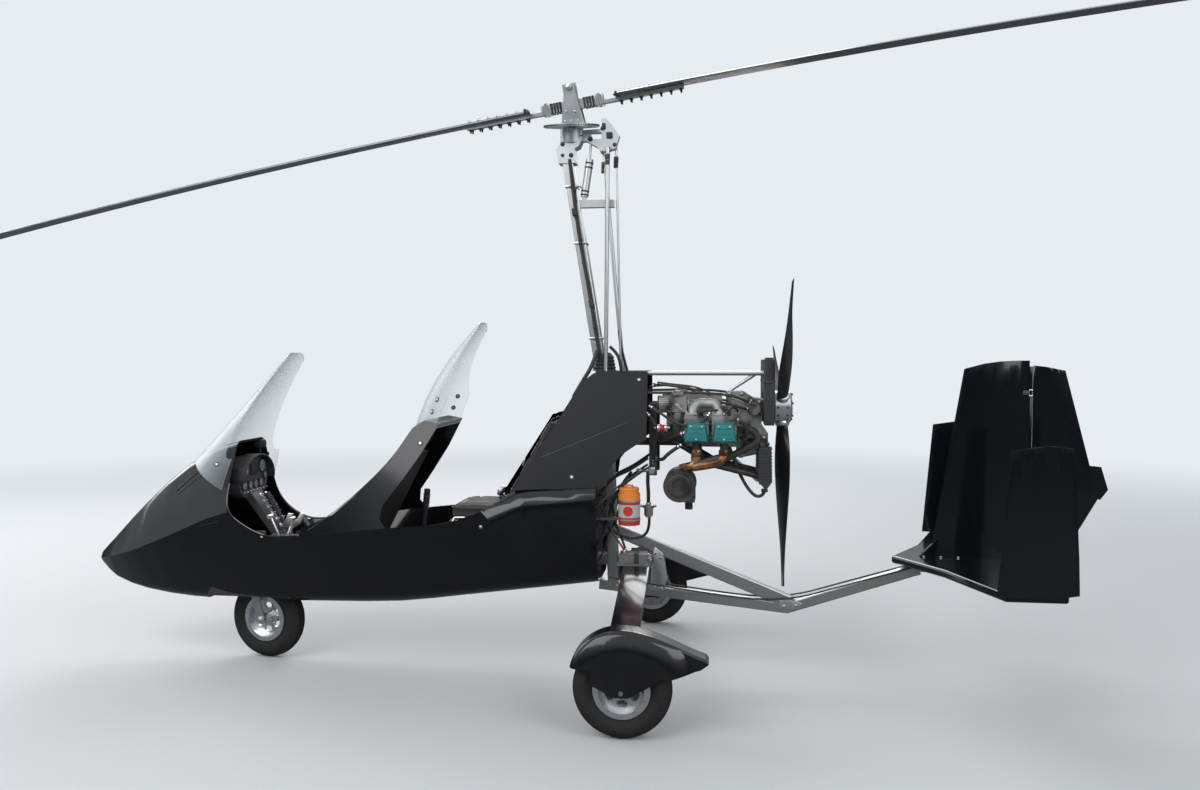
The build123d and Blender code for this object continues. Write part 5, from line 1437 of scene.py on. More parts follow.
# bolts with washers on the torque tube and its bearings: X, Z and radius
SIDE_BOLTS = (
    (-0.030, 2.615, 0.008), (0.012, 2.560, 0.008), (-0.030, 2.560, 0.006), (0.060, 2.650, 0.007),
    (0.105, 2.640, 0.009), (0.165, 2.690, 0.007), (0.225, 2.610, 0.007),
)
side_bolts = []
for x, z, radius in SIDE_BOLTS:
    for side in SIDES:
        try:
            spot, _ = skin_point("rotor_head", (x, side * 0.5, z), (0, -side, 0))
        except ValueError:
            continue
        washer_face = spot + Vector((0, side * 0.003, 0))
        side_bolts.append(drum(spot, washer_face, radius * 1.4, 0.0006, 20))
        side_bolts.append(drum(washer_face, spot + Vector((0, side * 0.009, 0)), radius, 0.0012, 6))
piece("head_bolts", "airframe", dark_steel, *side_bolts, slot="dark_steel")
# square rubber stops on both sides of the torque plates
stops = []
for x, z, width in ((0.200, 2.655, 0.030), (0.172, 2.700, 0.018)):
    for side in SIDES:
        spot, _ = skin_point("rotor_head", (x, side * 0.5, z), (0, -side, 0))
        stops.append(block(spot + Vector((0, side * 0.004, 0)), (width, 0.008, 0.030), 0.003))
piece("head_stops", "airframe", black_matte, *stops)

# trim cylinder: bands at shares of its length, and its air line
run_low, run_high = Vector((0.072, 0, 2.360)), Vector((0.100, 0, 2.540))
way = (run_high - run_low).normalized()
collars = []
for share in (0.06, 0.16, 0.80, 0.92):
    centre = run_low + (run_high - run_low) * share
    collars.append(drum(centre - way * 0.004, centre + way * 0.004, 0.0205, 0.0015, 28))
piece("trim_cylinder_bands", "airframe", dark_steel, *collars)
AIR_LINE = ((0.062, -0.020, 2.400), (0.045, -0.030, 2.420), (0.030, -0.036, 2.380), (0.040, -0.040, 2.330))
piece("trim_air_line", "airframe", hose_rubber, hose(AIR_LINE, 0.003, 2))
print("head with", len(side_bolts) // 2, "side bolts")

# %% [markdown]
# Wires and tubes never run bare: they are bundled along the mast and tied every hand's breadth.
# The bundle is three cords on slightly different lines, drawn through a few points each.

# %% Mast bundle
# X and Z of the bundle on its way down the mast's port side
MAST_RUN = (
    (0.004, 2.540), (0.020, 2.413), (0.038, 2.254), (0.057, 2.144), (0.075, 2.033), (0.106, 1.874),
    (0.113, 1.824), (0.131, 1.714), (0.150, 1.600), (0.166, 1.520),
)
BUNDLE_Y = -0.046
# columns: offset aft, offset inwards, radius, sway between the ties
CORDS = ((0, 0, 0.0045, 0.0), (0.006, 0.003, 0.0030, 0.002), (-0.005, 0.004, 0.0026, -0.002))
bundle = []
for aft, inwards, radius, sway in CORDS:
    line = []
    for index, (x, z) in enumerate(MAST_RUN):
        line.append((x + aft + sway * (index % 2), BUNDLE_Y + inwards, z))
    bundle.append(hose(line, radius))
piece("mast_cables", "airframe", hose_rubber, *bundle)
TIE_PROFILE = ((0.0085, -0.003), (0.0105, -0.003), (0.0105, 0.003), (0.0085, 0.003))
lean = Matrix.Rotation(math.radians(-8), 4, "Y")
ties = []
for x, z in (*MAST_RUN[1:5], *MAST_RUN[6:]):
    place = Matrix.Translation((x + 0.001, BUNDLE_Y + 0.002, z))
    ties.append(placed(spun(TIE_PROFILE, 20), place @ lean))
piece("mast_cable_ties", "airframe", black_matte, *ties)

# sleeves where the bundle splits
sleeves = [
    drum((0.026, -0.047, 2.300), (0.034, -0.047, 2.262), 0.0125, 0.003, 20),
    drum((0.110, -0.047, 1.852), (0.118, -0.047, 1.812), 0.0135, 0.003, 20),
]
# gaiter where the mast enters the cowling, and the hoses that run down beside it
gaiter = bellows(0.030, 1.500, 1.590, ((0.062, 0), (0.055, 0.008)), (-0.003, 0.017), 5)
sleeves.append(placed(spun(gaiter, 40), Matrix.Translation((0.172, 0, 0))))
MAST_FOOT_HOSES = (
    (0.010, (
        (0.030, -0.085, 1.372), (0.075, -0.088, 1.450), (0.120, -0.080, 1.520), (0.145, -0.060, 1.600),
    )),
    (0.008, (
        (0.262, -0.040, 1.496), (0.258, -0.050, 1.540), (0.240, -0.048, 1.590), (0.205, -0.045, 1.620),
    )),
    (0.007, ((0.285, 0.030, 1.496), (0.268, 0.020, 1.560), (0.250, 0.010, 1.640), (0.246, 0.006, 1.700))),
)
sleeves += [hose(line, radius) for radius, line in MAST_FOOT_HOSES]
piece("mast_sleeves", "airframe", black_matte, *sleeves)

# steel bands round the mast, each with one bolt; the mast leans aft on its way down
MAST_TOP, MAST_FOOT = (-0.018, 2.600), (0.190, 1.300)
bands = []
for height in (2.408, 2.130, 1.660):
    share = (MAST_TOP[1] - height) / (MAST_TOP[1] - MAST_FOOT[1])
    x = MAST_TOP[0] + (MAST_FOOT[0] - MAST_TOP[0]) * share
    bands.append(block((x, 0, height), (0.064, 0.080, 0.012), 0.002))
    bands.append(across(x - 0.01, height, -0.040, -0.050, 0.006))
piece("mast_bands", "airframe", brushed_steel, *bands, slot="brushed_steel")

# rod ends: a nut and a sleeve below the ball joint of each push rod
rod_ends = []
for x, z, y in ((0.195, 2.590, -0.052), (0.163, 2.570, 0.052), (0.231, 2.585, 0.0)):
    nut_foot = (x - 0.001, y, z - 0.060)
    rod_ends.append(drum(nut_foot, (x, y, z - 0.030), 0.0125, 0.002, 6))
    rod_ends.append(drum((x - 0.002, y, z - 0.085), nut_foot, 0.0115, 0.002, 20))
piece("rod_ends", "airframe", dark_steel, *rod_ends)
print("mast bundle with", len(ties), "ties")

# %% [markdown]
# An engine in the open is read by its plumbing. The castings come from CAD; here they get their
# ribs, bolts, plugs, carburettors and flanges, each modelled once and set on both sides. Port and
# starboard are mirror images, so a mirror matrix makes the far side and turns its faces back out.

# %% Engine castings
MIRROR = Matrix.Scale(-1, 4, (0, 1, 0))


def both_sides(*parts):
    """The parts as modelled to port, and their mirror images to starboard."""
    out = []
    for part in parts:
        twin = part.copy()
        twin.data = part.data.copy()
        bpy.context.collection.objects.link(twin)
        out += [part, placed(twin, MIRROR)]
    return out


# the two cylinder heads on each side: X of both, Y of their middle
HEADS_X, HEAD_Y = (0.637, 0.765), -0.226
COVER_FACE = -0.3003
COVER_OUTLINE = ((-0.050, 1.180), (-0.037, 1.256), (0.037, 1.256), (0.050, 1.180))
covers, cover_bolts = [], []
for x in HEADS_X:
    covers.append(plate([(x + off, COVER_FACE, z) for off, z in COVER_OUTLINE], (0, -0.0035, 0), 0.004))
    for index, z in enumerate(row(3, 1.196, 0.021)):
        half = 0.036 - index * 0.003
        covers.append(bar((x - half, -0.305, z), (x + half, -0.305, z), 0.004, 0.005, 0.001))
    for off, z in ((-0.026, 1.246), (0.026, 1.246), (0.0, 1.187)):
        cover_bolts.append(across(x + off, z, -0.303, -0.311, 0.0058))
piece("cover_ribs", "airframe", teal_paint, *both_sides(*covers), slot="teal_paint")
piece("cover_bolts", "airframe", silver_alloy, *both_sides(*cover_bolts), slot="silver_alloy")

INTAKES_X = (0.619, 0.745)
castings, steel_bits = [], []
for x, intake_x in zip(HEADS_X, INTAKES_X):
    # intake flange above, exhaust flange below, and cooling ribs between them
    castings.append(block((intake_x, HEAD_Y, 1.299), (0.074, 0.050, 0.012), 0.003))
    castings.append(block((x, HEAD_Y, 1.171), (0.066, 0.052, 0.012), 0.003))
    for side in SIDES:
        steel_bits.append(upright(intake_x + side * 0.030, HEAD_Y, 1.304, 1.312, 0.0055))
        steel_bits.append(upright(x + side * 0.026, HEAD_Y, 1.166, 1.156, 0.005))
    for z in (1.192, 1.213, 1.257, 1.278):
        castings.append(block((x, HEAD_Y, z), (0.118, 0.078, 0.0035), 0.001))
# crankcase flange with its ribs
castings.append(block((0.700, -0.098, 1.235), (0.230, 0.010, 0.120), 0.006))
for x in row(5, 0.600, 0.05):
    castings.append(block((x, -0.103, 1.235), (0.006, 0.010, 0.112), 0.002))

# carburettor: float bowl, two rings of its dome, throat ring, screws and lever
CARB_X, CARB_Y = 0.546, -0.195
castings.append(drum((CARB_X, CARB_Y, 1.309), (CARB_X, CARB_Y, 1.268), 0.026, 0.004, 28, 0.021))
castings.append(upright(CARB_X, CARB_Y, 1.381, 1.400, 0.034, 0.004, 32))
castings.append(upright(CARB_X, CARB_Y, 1.400, 1.412, 0.020, 0.003, 28))
castings.append(drum((0.594, -0.198, 1.350), (0.602, -0.198, 1.350), 0.031, 0.002, 32))
for angle in row(4, math.radians(45), math.radians(90)):
    x, y = CARB_X + 0.028 * math.cos(angle), CARB_Y + 0.028 * math.sin(angle)
    steel_bits.append(upright(x, y, 1.400, 1.404, 0.004, sides=12))
steel_bits.append(bar((CARB_X, -0.229, 1.340), (0.566, -0.229, 1.312), 0.003, 0.014, 0.001))
steel_bits.append(across(CARB_X, 1.340, -0.226, -0.233, 0.008, sides=16))
piece("casting_details", "airframe", cast_alloy, *both_sides(*castings), slot="cast_alloy")
piece("casting_bolts", "airframe", brushed_steel, *both_sides(*steel_bits), slot="brushed_steel")

# air filters: pleated drums on the carburettors' mouths, with a plain rim at each end
FILTER_Z = 1.345
pleats = []
for step in range(48):
    angle = math.tau * step / 48
    radius = 0.041 if step % 2 else 0.037
    pleats.append((0.460, CARB_Y + radius * math.cos(angle), FILTER_Z + radius * math.sin(angle)))
filters = [plate(pleats, (0.048, 0, 0), 0.0006)]
for start, end in ((0.452, 0.460), (0.506, 0.514)):
    filters.append(drum((start, CARB_Y, FILTER_Z), (end, CARB_Y, FILTER_Z), 0.042, 0.003, 36))
piece("air_filters", "airframe", hose_rubber, *both_sides(*filters))
print("castings dressed")

# %% [markdown]
# The gearbox has a bolted flange and a round cover on its shoulder, pale against the castings.
# The propeller hub is two machined halves clamped on the blade roots; a ring of bolts holds them,
# and a split collar closes round each root.

# %% Gearbox and propeller hub
# X and Z of the flange's bosses, and the two ends of each rib between them
GEARBOX_EDGE = (
    (0.790, 1.392), (0.850, 1.392), (0.896, 1.358), (0.934, 1.352), (0.955, 1.180), (0.918, 1.112),
    (0.846, 1.092),
)
GEARBOX_RIBS = (
    ((0.800, 1.372), (0.900, 1.330)),
    ((0.800, 1.345), (0.880, 1.310)),
    ((0.850, 1.110), (0.940, 1.200)),
)
BOSS_START, BOSS_END = -0.0715, -0.0775
flange, flange_bolts = [], []
for x, z in GEARBOX_EDGE:
    flange.append(across(x, z, BOSS_START, BOSS_END, 0.012, 0.002, 24))
    flange_bolts.append(across(x, z, BOSS_END, BOSS_END - 0.007, 0.0062))
for (start_x, start_z), (end_x, end_z) in GEARBOX_RIBS:
    flange.append(bar((start_x, -0.0745, start_z), (end_x, -0.0745, end_z), 0.007, 0.008, 0.002))
cover = spun(((0, 0), (0.030, 0), (0.032, 0.003), (0.028, 0.007), (0.020, 0.008), (0, 0.008)), 40)
flange.append(placed(cover, Matrix.Translation((0.909, -0.098, 1.320)) @ quarter_turn))
piece("gearbox_details", "airframe", cast_alloy, *both_sides(*flange), slot="cast_alloy")
piece("gearbox_bolts", "airframe", brushed_steel, *both_sides(*flange_bolts), slot="brushed_steel")

PROP_CENTRE = Matrix.Translation((1.046, 0, 1.326))
SHAFT = PROP_CENTRE @ facing_aft
HUB_PROFILE = (
    (0.030, 0.0352), (0.074, 0.0352), (0.077, 0.0385), (0.066, 0.0425), (0.052, 0.0440),
    (0.050, 0.0475), (0.030, 0.0480),
)
hub_ring = placed(spun(HUB_PROFILE, 64), SHAFT)
piece("propeller_hub_face", "propeller", silver_alloy, hub_ring, slot="silver_alloy")
face_bolts = repeated(hexagon_nut(0.006, 0.007, 0.0085), turned(6, (0.062, 0, 0.0435), 0.2))
# two rows of small bolts stand out from the rim
rim_turns = [turn @ facing_aft for z in (-0.022, 0.022) for turn in turned(12, (0.0775, 0, z))]
rim_bolts = repeated(hexagon_nut(0.0045, 0.005, 0.006), rim_turns)
hub_bolts = all_placed((*face_bolts, *rim_bolts), SHAFT)
piece("propeller_hub_bolts", "propeller", dark_steel, *hub_bolts, slot="dark_steel")
# root collars: a split clamp round each of the three blade roots
FIRST_BLADE = math.radians(49.5)
COLLAR_PROFILE = (
    (0.034, 0.074), (0.0345, 0.080), (0.0335, 0.088), (0.030, 0.094), (0.022, 0.096), (0.022, 0.074),
)
collars = []
for angle in row(3, FIRST_BLADE, math.tau / 3):
    collars.append(placed(spun(COLLAR_PROFILE, 40), PROP_CENTRE @ Matrix.Rotation(angle, 4, "X")))
piece("blade_root_collars", "propeller", silver_alloy, *collars, slot="silver_alloy")
print("gearbox and propeller hub")

# %% [markdown]
# A radiator is a stack of thin fins between two tanks, seen edge on from behind and flat from the
# side. The black cooler under the gearbox has deep ribs. Both are rows of one plate.

# %% Radiator and cooler
RADIATOR_X = 0.975
fin_places = [Matrix.Translation((RADIATOR_X, 0, z)) for z in row(16, 1.402, 0.0085)]
fins = repeated(block((0, 0, 0), (0.047, 0.396, 0.0022), 0.0004), fin_places)
tanks = [block((RADIATOR_X, side * 0.2045, 1.401), (0.050, 0.015, 0.300), 0.005) for side in SIDES]
tanks.append(upright(RADIATOR_X, -0.120, 1.553, 1.566, 0.020, 0.003, 28))
tanks.append(block((RADIATOR_X, 0, 1.552), (0.050, 0.410, 0.008), 0.003))
piece("radiator_fins", "airframe", black_matte, *fins, slot="black_matte")
piece("radiator_tanks", "airframe", black_matte, *tanks, slot="black_matte")
strap_left = bar((0.948, -0.196, 1.452), (1.001, -0.196, 1.452), 0.040, 0.010, 0.002)
piece("radiator_straps", "airframe", dark_steel, *both_sides(strap_left))

COOLER_Y = 0.120
ribs = []
for side in SIDES:
    for z in row(9, 0.990, 0.0155):
        ribs.append(block((0.958, side * COOLER_Y, z), (0.068, 0.094, 0.0045), 0.0015))
    ribs.append(block((0.960, side * COOLER_Y, 1.134), (0.064, 0.088, 0.010), 0.003))
    ribs.append(upright(0.958, side * 0.135, 0.940, 0.925, 0.016, 0.003, 20))
piece("cooler_ribs", "airframe", black_matte, *ribs, slot="black_matte")
TOP_LINE = ((0.940, -0.120, 1.136), (0.935, -0.120, 1.160), (0.915, -0.105, 1.175), (0.880, -0.085, 1.170))
LOW_LINE = (
    (0.958, -0.135, 0.930), (0.948, -0.130, 0.900), (0.900, -0.110, 0.905), (0.830, -0.095, 1.020),
    (0.790, -0.085, 1.140),
)
cooler_lines = [*both_sides(hose(TOP_LINE, 0.009)), hose(LOW_LINE, 0.008)]
piece("cooler_lines", "airframe", hose_rubber, *cooler_lines)
STAY_FOOT = (0.807, 0.130, 1.062)
stays = [drum(STAY_FOOT, end, 0.012, 0.002, 20) for end in ((0.940, 0.140, 0.945), (0.780, 0.110, 1.150))]
piece("cooler_stay", "airframe", brushed_steel, *stays, slot="brushed_steel")
print("radiator with", len(fins), "fins")

# %% [markdown]
# The exhaust comes down from the heads into a drum of a muffler. Its end plates are pressed in
# rings, springs hold the ball joints, and the joints are burnt brown.

# %% Exhaust details
burnt_steel = Finish("burnt_steel", (0.22, 0.10, 0.05), 0.4, 0.9)
burn = burnt_steel.noise(18, 6)
sooty, brown, straw = (0.09, 0.05, 0.035), (0.34, 0.15, 0.06), (0.42, 0.30, 0.20)
burnt_steel.feed("Base Color", burnt_steel.ramp(burn, (0.3, sooty), (0.5, brown), (0.7, straw)))
burnt_steel.feed("Roughness", 0.3 + burn * 0.3)

MUFFLER_X, MUFFLER_Z = 0.558, 0.962
END_PROFILE = (
    (0.0, 0.0), (0.030, 0.0), (0.034, 0.004), (0.050, 0.004), (0.054, 0.001), (0.070, 0.001),
    (0.0765, 0.003), (0.0765, -0.004), (0.0, -0.004),
)
end_rings = []
for y, outwards in ((-0.2555, quarter_turn), (-0.0845, quarter_turn.inverted())):
    place = Matrix.Translation((MUFFLER_X, y, MUFFLER_Z))
    end_rings.append(placed(spun(END_PROFILE, 56), place @ outwards))
piece("muffler_ends", "airframe", dark_steel, *end_rings, slot="dark_steel")

# ball joints, each with a spring of seven coils beside it
JOINTS = ((0.637, 1.120), (0.765, 1.120), (0.590, 1.052))
COIL_PROFILE = ((0.004, 0), (0.0058, 0.0009), (0.0058, 0.0021), (0.004, 0.003))
joints = []
for x, z in JOINTS:
    joints.append(upright(x, HEAD_Y, z - 0.014, z + 0.014, 0.0245, 0.004, 32))
    for coil_z in row(7, z - 0.014, 0.004):
        place = Matrix.Translation((x - 0.004, HEAD_Y - 0.030, coil_z))
        joints.append(placed(spun(COIL_PROFILE, 12), place))
HEADERS = (
    (0.0215, (
        (0.637, -0.226, 1.100), (0.637, -0.228, 1.070), (0.610, -0.228, 1.050), (0.585, -0.224, 1.035),
    )),
    (0.0205, (
        (0.765, -0.226, 1.105), (0.750, -0.236, 1.075), (0.690, -0.240, 1.062), (0.620, -0.232, 1.050),
    )),
)
headers = [hose(line, radius) for radius, line in HEADERS]
piece("exhaust_joints", "airframe", burnt_steel, *joints, *headers)
tail_pipe = spun(((0.016, 0.0), (0.0185, 0.0), (0.0185, 0.052), (0.016, 0.052)), 32)
placed(tail_pipe, Matrix.Translation((0.600, -0.170, 0.842)))
piece("exhaust_tail_pipe", "airframe", dark_steel, tail_pipe, slot="dark_steel")
print("exhaust dressed")

# %% [markdown]
# Hoses and wires follow the photograph: each is one smooth curve through a few points, from a
# fitting to a fitting. Thin black ones are ignition leads, thicker ones carry water and fuel.

# %% Engine hoses
# radius, then the points; the first seven have a twin on the far side
ENGINE_HOSES = (
    (0.0065, (
        (0.360, -0.150, 1.400), (0.440, -0.200, 1.398), (0.540, -0.205, 1.402), (0.664, -0.205, 1.400),
        (0.767, -0.200, 1.393), (0.842, -0.185, 1.376), (0.890, -0.130, 1.345),
    )),
    (0.0060, (
        (0.700, -0.130, 1.365), (0.747, -0.150, 1.353), (0.802, -0.150, 1.343), (0.857, -0.130, 1.322),
        (0.880, -0.100, 1.319),
    )),
    (0.0065, (
        (0.420, -0.240, 1.335), (0.461, -0.270, 1.312), (0.516, -0.275, 1.275), (0.577, -0.276, 1.246),
        (0.639, -0.275, 1.252), (0.679, -0.272, 1.280), (0.693, -0.262, 1.305),
    )),
    (0.0045, (
        (0.430, -0.120, 1.440), (0.520, -0.150, 1.428), (0.600, -0.170, 1.420), (0.660, -0.165, 1.404),
        (0.700, -0.140, 1.385),
    )),
    (0.0045, (
        (0.410, -0.090, 1.425), (0.500, -0.100, 1.436), (0.580, -0.110, 1.418), (0.640, -0.090, 1.398),
    )),
    (0.0055, (
        (0.760, -0.250, 1.296), (0.785, -0.262, 1.320), (0.800, -0.235, 1.338), (0.820, -0.180, 1.330),
        (0.835, -0.120, 1.300),
    )),
    (0.0055, (
        (0.632, -0.250, 1.296), (0.655, -0.272, 1.318), (0.700, -0.262, 1.322), (0.770, -0.210, 1.318),
        (0.812, -0.150, 1.330),
    )),
    (0.0100, (
        (0.820, -0.200, 1.270), (0.850, -0.205, 1.268), (0.872, -0.190, 1.230), (0.868, -0.170, 1.190),
        (0.830, -0.150, 1.175),
    )),
    (0.0120, (
        (0.440, -0.100, 1.180), (0.480, -0.140, 1.175), (0.530, -0.165, 1.190), (0.575, -0.180, 1.205),
    )),
    (0.0090, (
        (0.440, -0.130, 1.080), (0.470, -0.170, 1.070), (0.500, -0.200, 1.110), (0.560, -0.210, 1.150),
    )),
    (0.0050, (
        (0.405, -0.200, 1.300), (0.440, -0.215, 1.260), (0.455, -0.200, 1.200), (0.430, -0.150, 1.140),
        (0.425, -0.130, 1.060),
    )),
)
TWINNED = 7


def run_hoses(routes, twinned):
    """Hoses along their routes, and mirrored ones for some of them."""
    near = [hose(points, radius) for radius, points in routes]
    far = [hose([(x, -y, z) for x, y, z in points], radius) for radius, points in twinned]
    return near + far


lines = run_hoses(ENGINE_HOSES, ENGINE_HOSES[:TWINNED])
piece("engine_hoses", "airframe", hose_rubber, *lines, smooth=60)
clamps = []
for radius, points in ENGINE_HOSES:
    for near, far in ((points[0], points[1]), (points[-1], points[-2])):
        start, way = Vector(near), (Vector(far) - Vector(near)).normalized()
        clamps.append(drum(start + way * 0.006, start + way * 0.014, radius + 0.0016, 0.0006, 20))
        clamps.append(drum(start - way * 0.008, start + way * 0.006, radius * 0.85, 0.0008, 8))
piece("hose_clamps", "airframe", silver_alloy, *clamps, slot="silver_alloy")
plugs = []
for x in HEADS_X:
    elbow = (x + 0.022, -0.240, 1.312)
    plugs.append(drum((x + 0.022, -0.236, 1.292), elbow, 0.0095, 0.002, 20))
    plugs.append(drum(elbow, (x + 0.022, -0.250, 1.326), 0.0075, 0.002, 20))
piece("plug_caps", "airframe", hose_rubber, *both_sides(*plugs))

red_paint = Finish("red_paint", (0.45, 0.02, 0.02), 0.4)
red_paint.feed("Roughness", 0.3 + red_paint.noise(40) * 0.2)


def filter_drum(start, end, radius, rounding=0.002, sides=24):
    """A part of the fuel filter, which lies along X."""
    return drum((start, -0.200, 1.232), (end, -0.200, 1.232), radius, rounding, sides)


piece("fuel_filter_body", "airframe", red_paint, filter_drum(0.462, 0.486, 0.016, 0.003))
ends = [filter_drum(0.450, 0.463, 0.0175), filter_drum(0.485, 0.498, 0.0175)]
ends.append(filter_drum(0.438, 0.510, 0.006, 0.001, 14))
piece("fuel_filter_ends", "airframe", silver_alloy, *ends, slot="silver_alloy")
print("engine with", len(lines), "hoses")

# %% [markdown]
# Behind the hull hang the things that serve the engine: the overflow canister in its bands, the
# battery with its red lead, a fuel filter bowl on its line, and a harness of wires from the firewall.

# %% Behind the hull
CANISTER = Matrix.Translation((0.320, -0.235, 0))
LID_PROFILE = (
    (0.0, 0.0), (0.047, 0.0), (0.048, 0.004), (0.044, 0.010), (0.020, 0.013), (0.018, 0.022),
    (0.0, 0.022),
)
lid = spun([(radius, 0.9402 + rise) for radius, rise in LID_PROFILE], 48)
piece("canister_lid", "airframe", canister_red, placed(lid, CANISTER), slot="canister_red")
bands = []
for z in (0.800, 0.890):
    band = ((0.0522, z - 0.004), (0.0545, z - 0.003), (0.0545, z + 0.003), (0.0522, z + 0.004))
    bands.append(placed(spun(band, 56), CANISTER))
piece("canister_bands", "airframe", satin_aluminium, *bands, slot="satin_aluminium")

battery_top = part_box("battery")[1].z
TERMINAL_X = 0.290
terminals, straps = [], []
for y in (-0.165, -0.115):
    terminals.append(upright(TERMINAL_X, y, battery_top, battery_top + 0.010, 0.008, sides=20))
    terminals.append(upright(TERMINAL_X, y, battery_top + 0.010, battery_top + 0.016, 0.010))
over = battery_top + 0.002
straps.append(bar((0.350, -0.192, over), (0.350, -0.088, over), 0.022, 0.003, 0.001))
for y in (-0.190, -0.090):
    straps.append(block((0.350, y, battery_top - 0.020), (0.022, 0.003, 0.046), 0.001))
piece("battery_terminals", "airframe", silver_alloy, *terminals, slot="silver_alloy")
piece("battery_strap", "airframe", black_matte, *straps, slot="black_matte")
red_lead = (
    (TERMINAL_X, -0.165, battery_top + 0.014),
    (0.270, -0.175, battery_top + 0.050),
    (0.230, -0.160, 0.720),
    (0.200, -0.150, 0.800),
    (0.160, -0.140, 0.860),
)
piece("battery_lead_red", "airframe", canister_red, hose(red_lead, 0.005))

# radius, then the points; four of the wires have a twin on the far side
REAR_WIRES = (
    (0.006, (
        (0.290, -0.115, 0.630), (0.275, -0.100, 0.670), (0.240, -0.090, 0.740), (0.225, -0.080, 0.840),
        (0.160, -0.090, 0.900),
    )),
    (0.008, (
        (0.150, -0.180, 0.640), (0.190, -0.190, 0.700), (0.215, -0.170, 0.800), (0.240, -0.120, 0.900),
        (0.300, -0.095, 0.985),
    )),
    (0.006, (
        (0.150, -0.220, 0.720), (0.180, -0.220, 0.800), (0.220, -0.200, 0.880), (0.290, -0.150, 0.960),
        (0.380, -0.120, 1.020),
    )),
    (0.005, (
        (0.150, -0.120, 0.560), (0.190, -0.120, 0.620), (0.200, -0.110, 0.700), (0.240, -0.070, 0.760),
        (0.260, -0.050, 0.850),
    )),
    (0.007, (
        (0.150, -0.060, 0.880), (0.185, -0.070, 0.930), (0.230, -0.080, 0.980), (0.320, -0.100, 1.020),
        (0.400, -0.130, 1.080),
    )),
    (0.009, (
        (0.401, -0.130, 1.010), (0.398, -0.118, 0.960), (0.402, -0.104, 0.910), (0.401, -0.100, 0.858),
    )),
    (0.007, (
        (0.405, -0.100, 0.790), (0.408, -0.104, 0.740), (0.380, -0.110, 0.690), (0.300, -0.105, 0.680),
        (0.210, -0.130, 0.730), (0.160, -0.150, 0.780),
    )),
    (0.005, (
        (0.150, -0.260, 0.840), (0.190, -0.262, 0.880), (0.240, -0.250, 0.935), (0.330, -0.180, 0.995),
        (0.410, -0.150, 1.040),
    )),
)
wires = run_hoses(REAR_WIRES, REAR_WIRES[1:5])
piece("rear_wiring", "airframe", hose_rubber, *wires, smooth=60)

BOWL_PROFILE = (
    (0, -0.046), (0.014, -0.046), (0.022, -0.034), (0.022, -0.004), (0.027, 0.0), (0.027, 0.012),
    (0.014, 0.018), (0.010, 0.026), (0, 0.026),
)
bowl = [placed(spun(BOWL_PROFILE, 36), Matrix.Translation((0.402, -0.100, 0.834)))]
for start, end in ((0.375, 0.362), (0.429, 0.440)):
    bowl.append(drum((start, -0.100, 0.842), (end, -0.100, 0.842), 0.007, 0.001, 14))
piece("fuel_bowl", "airframe", satin_aluminium, *bowl, slot="satin_aluminium")
post = drum((0.343, -0.100, 1.015), (0.411, -0.110, 1.019), 0.010, 0.002, 20)
foot = block((0.420, -0.128, 1.019), (0.030, 0.020, 0.034), 0.004)
piece("post_bracket", "airframe", silver_alloy, post, foot, slot="silver_alloy")
print("rear of the hull with", len(wires), "wires")

# %% [markdown]
# Keel, legs and tail are bare tube and composite, so what remains is how they are joined: gusset
# plates with bolts, the bolts of the gear bow, and the calipers that grip the brake discs.

# %% Keel joints and gear bow
TUBE_SIDE = 0.0255
# X and Z of the two gussets' corners, as drawn from the side
POST_GUSSET = (
    (0.405, 0.412), (0.475, 0.405), (0.487, 0.470), (0.470, 0.590), (0.430, 0.626), (0.412, 0.585),
)
KNEE_GUSSET = ((1.040, 0.335), (1.120, 0.335), (1.150, 0.365), (1.110, 0.378), (1.040, 0.378))
# where bolts start and end beside the tube, their radius and rounding, and their places
KEEL_BOLTS = (
    (
        (0.0300, 0.0380, 0.0075, 0.0012),
        ((0.425, 0.425), (0.462, 0.420), (0.432, 0.596), (0.458, 0.574), (1.060, 0.350), (1.118, 0.356)),
    ),
    (
        (TUBE_SIDE, 0.0380, 0.0075, 0.0012),
        ((0.180, 0.700), (0.230, 0.690), (0.205, 0.430), (0.240, 0.426)),
    ),
    (
        (TUBE_SIDE, 0.0325, 0.006, 0.001),
        ((1.700, 0.548), (1.760, 0.560), (1.815, 0.560)),
    ),
)
gussets, gusset_bolts = [], []
for side in SIDES:
    for outline, thick, rounding in ((POST_GUSSET, 0.005, 0.002), (KNEE_GUSSET, 0.004, 0.001)):
        corners = [(x, side * TUBE_SIDE, z) for x, z in outline]
        gussets.append(plate(corners, (0, side * thick, 0), rounding))
    for (start, end, radius, rounding), places in KEEL_BOLTS:
        for x, z in places:
            gusset_bolts.append(across(x, z, side * start, side * end, radius, rounding))
piece("keel_gussets", "airframe", silver_alloy, *gussets, slot="silver_alloy")
piece("keel_bolts", "airframe", brushed_steel, *gusset_bolts, slot="brushed_steel")

bow_bolts = []
for x in (0.315, AXLE_X, 0.389):
    for y in (-0.050, 0.050):
        spot, _ = skin_point("gear_bow", (x, y, 1.0), (0, 0, -1))
        bow_bolts.append(drum(spot, spot + UP * 0.008, 0.008, 0.0015, 6))
        bow_bolts.append(drum(spot - UP * 0.001, spot + UP * 0.002, 0.012, 0.0006, 20))
piece("bow_bolts", "airframe", brushed_steel, *bow_bolts, slot="brushed_steel")

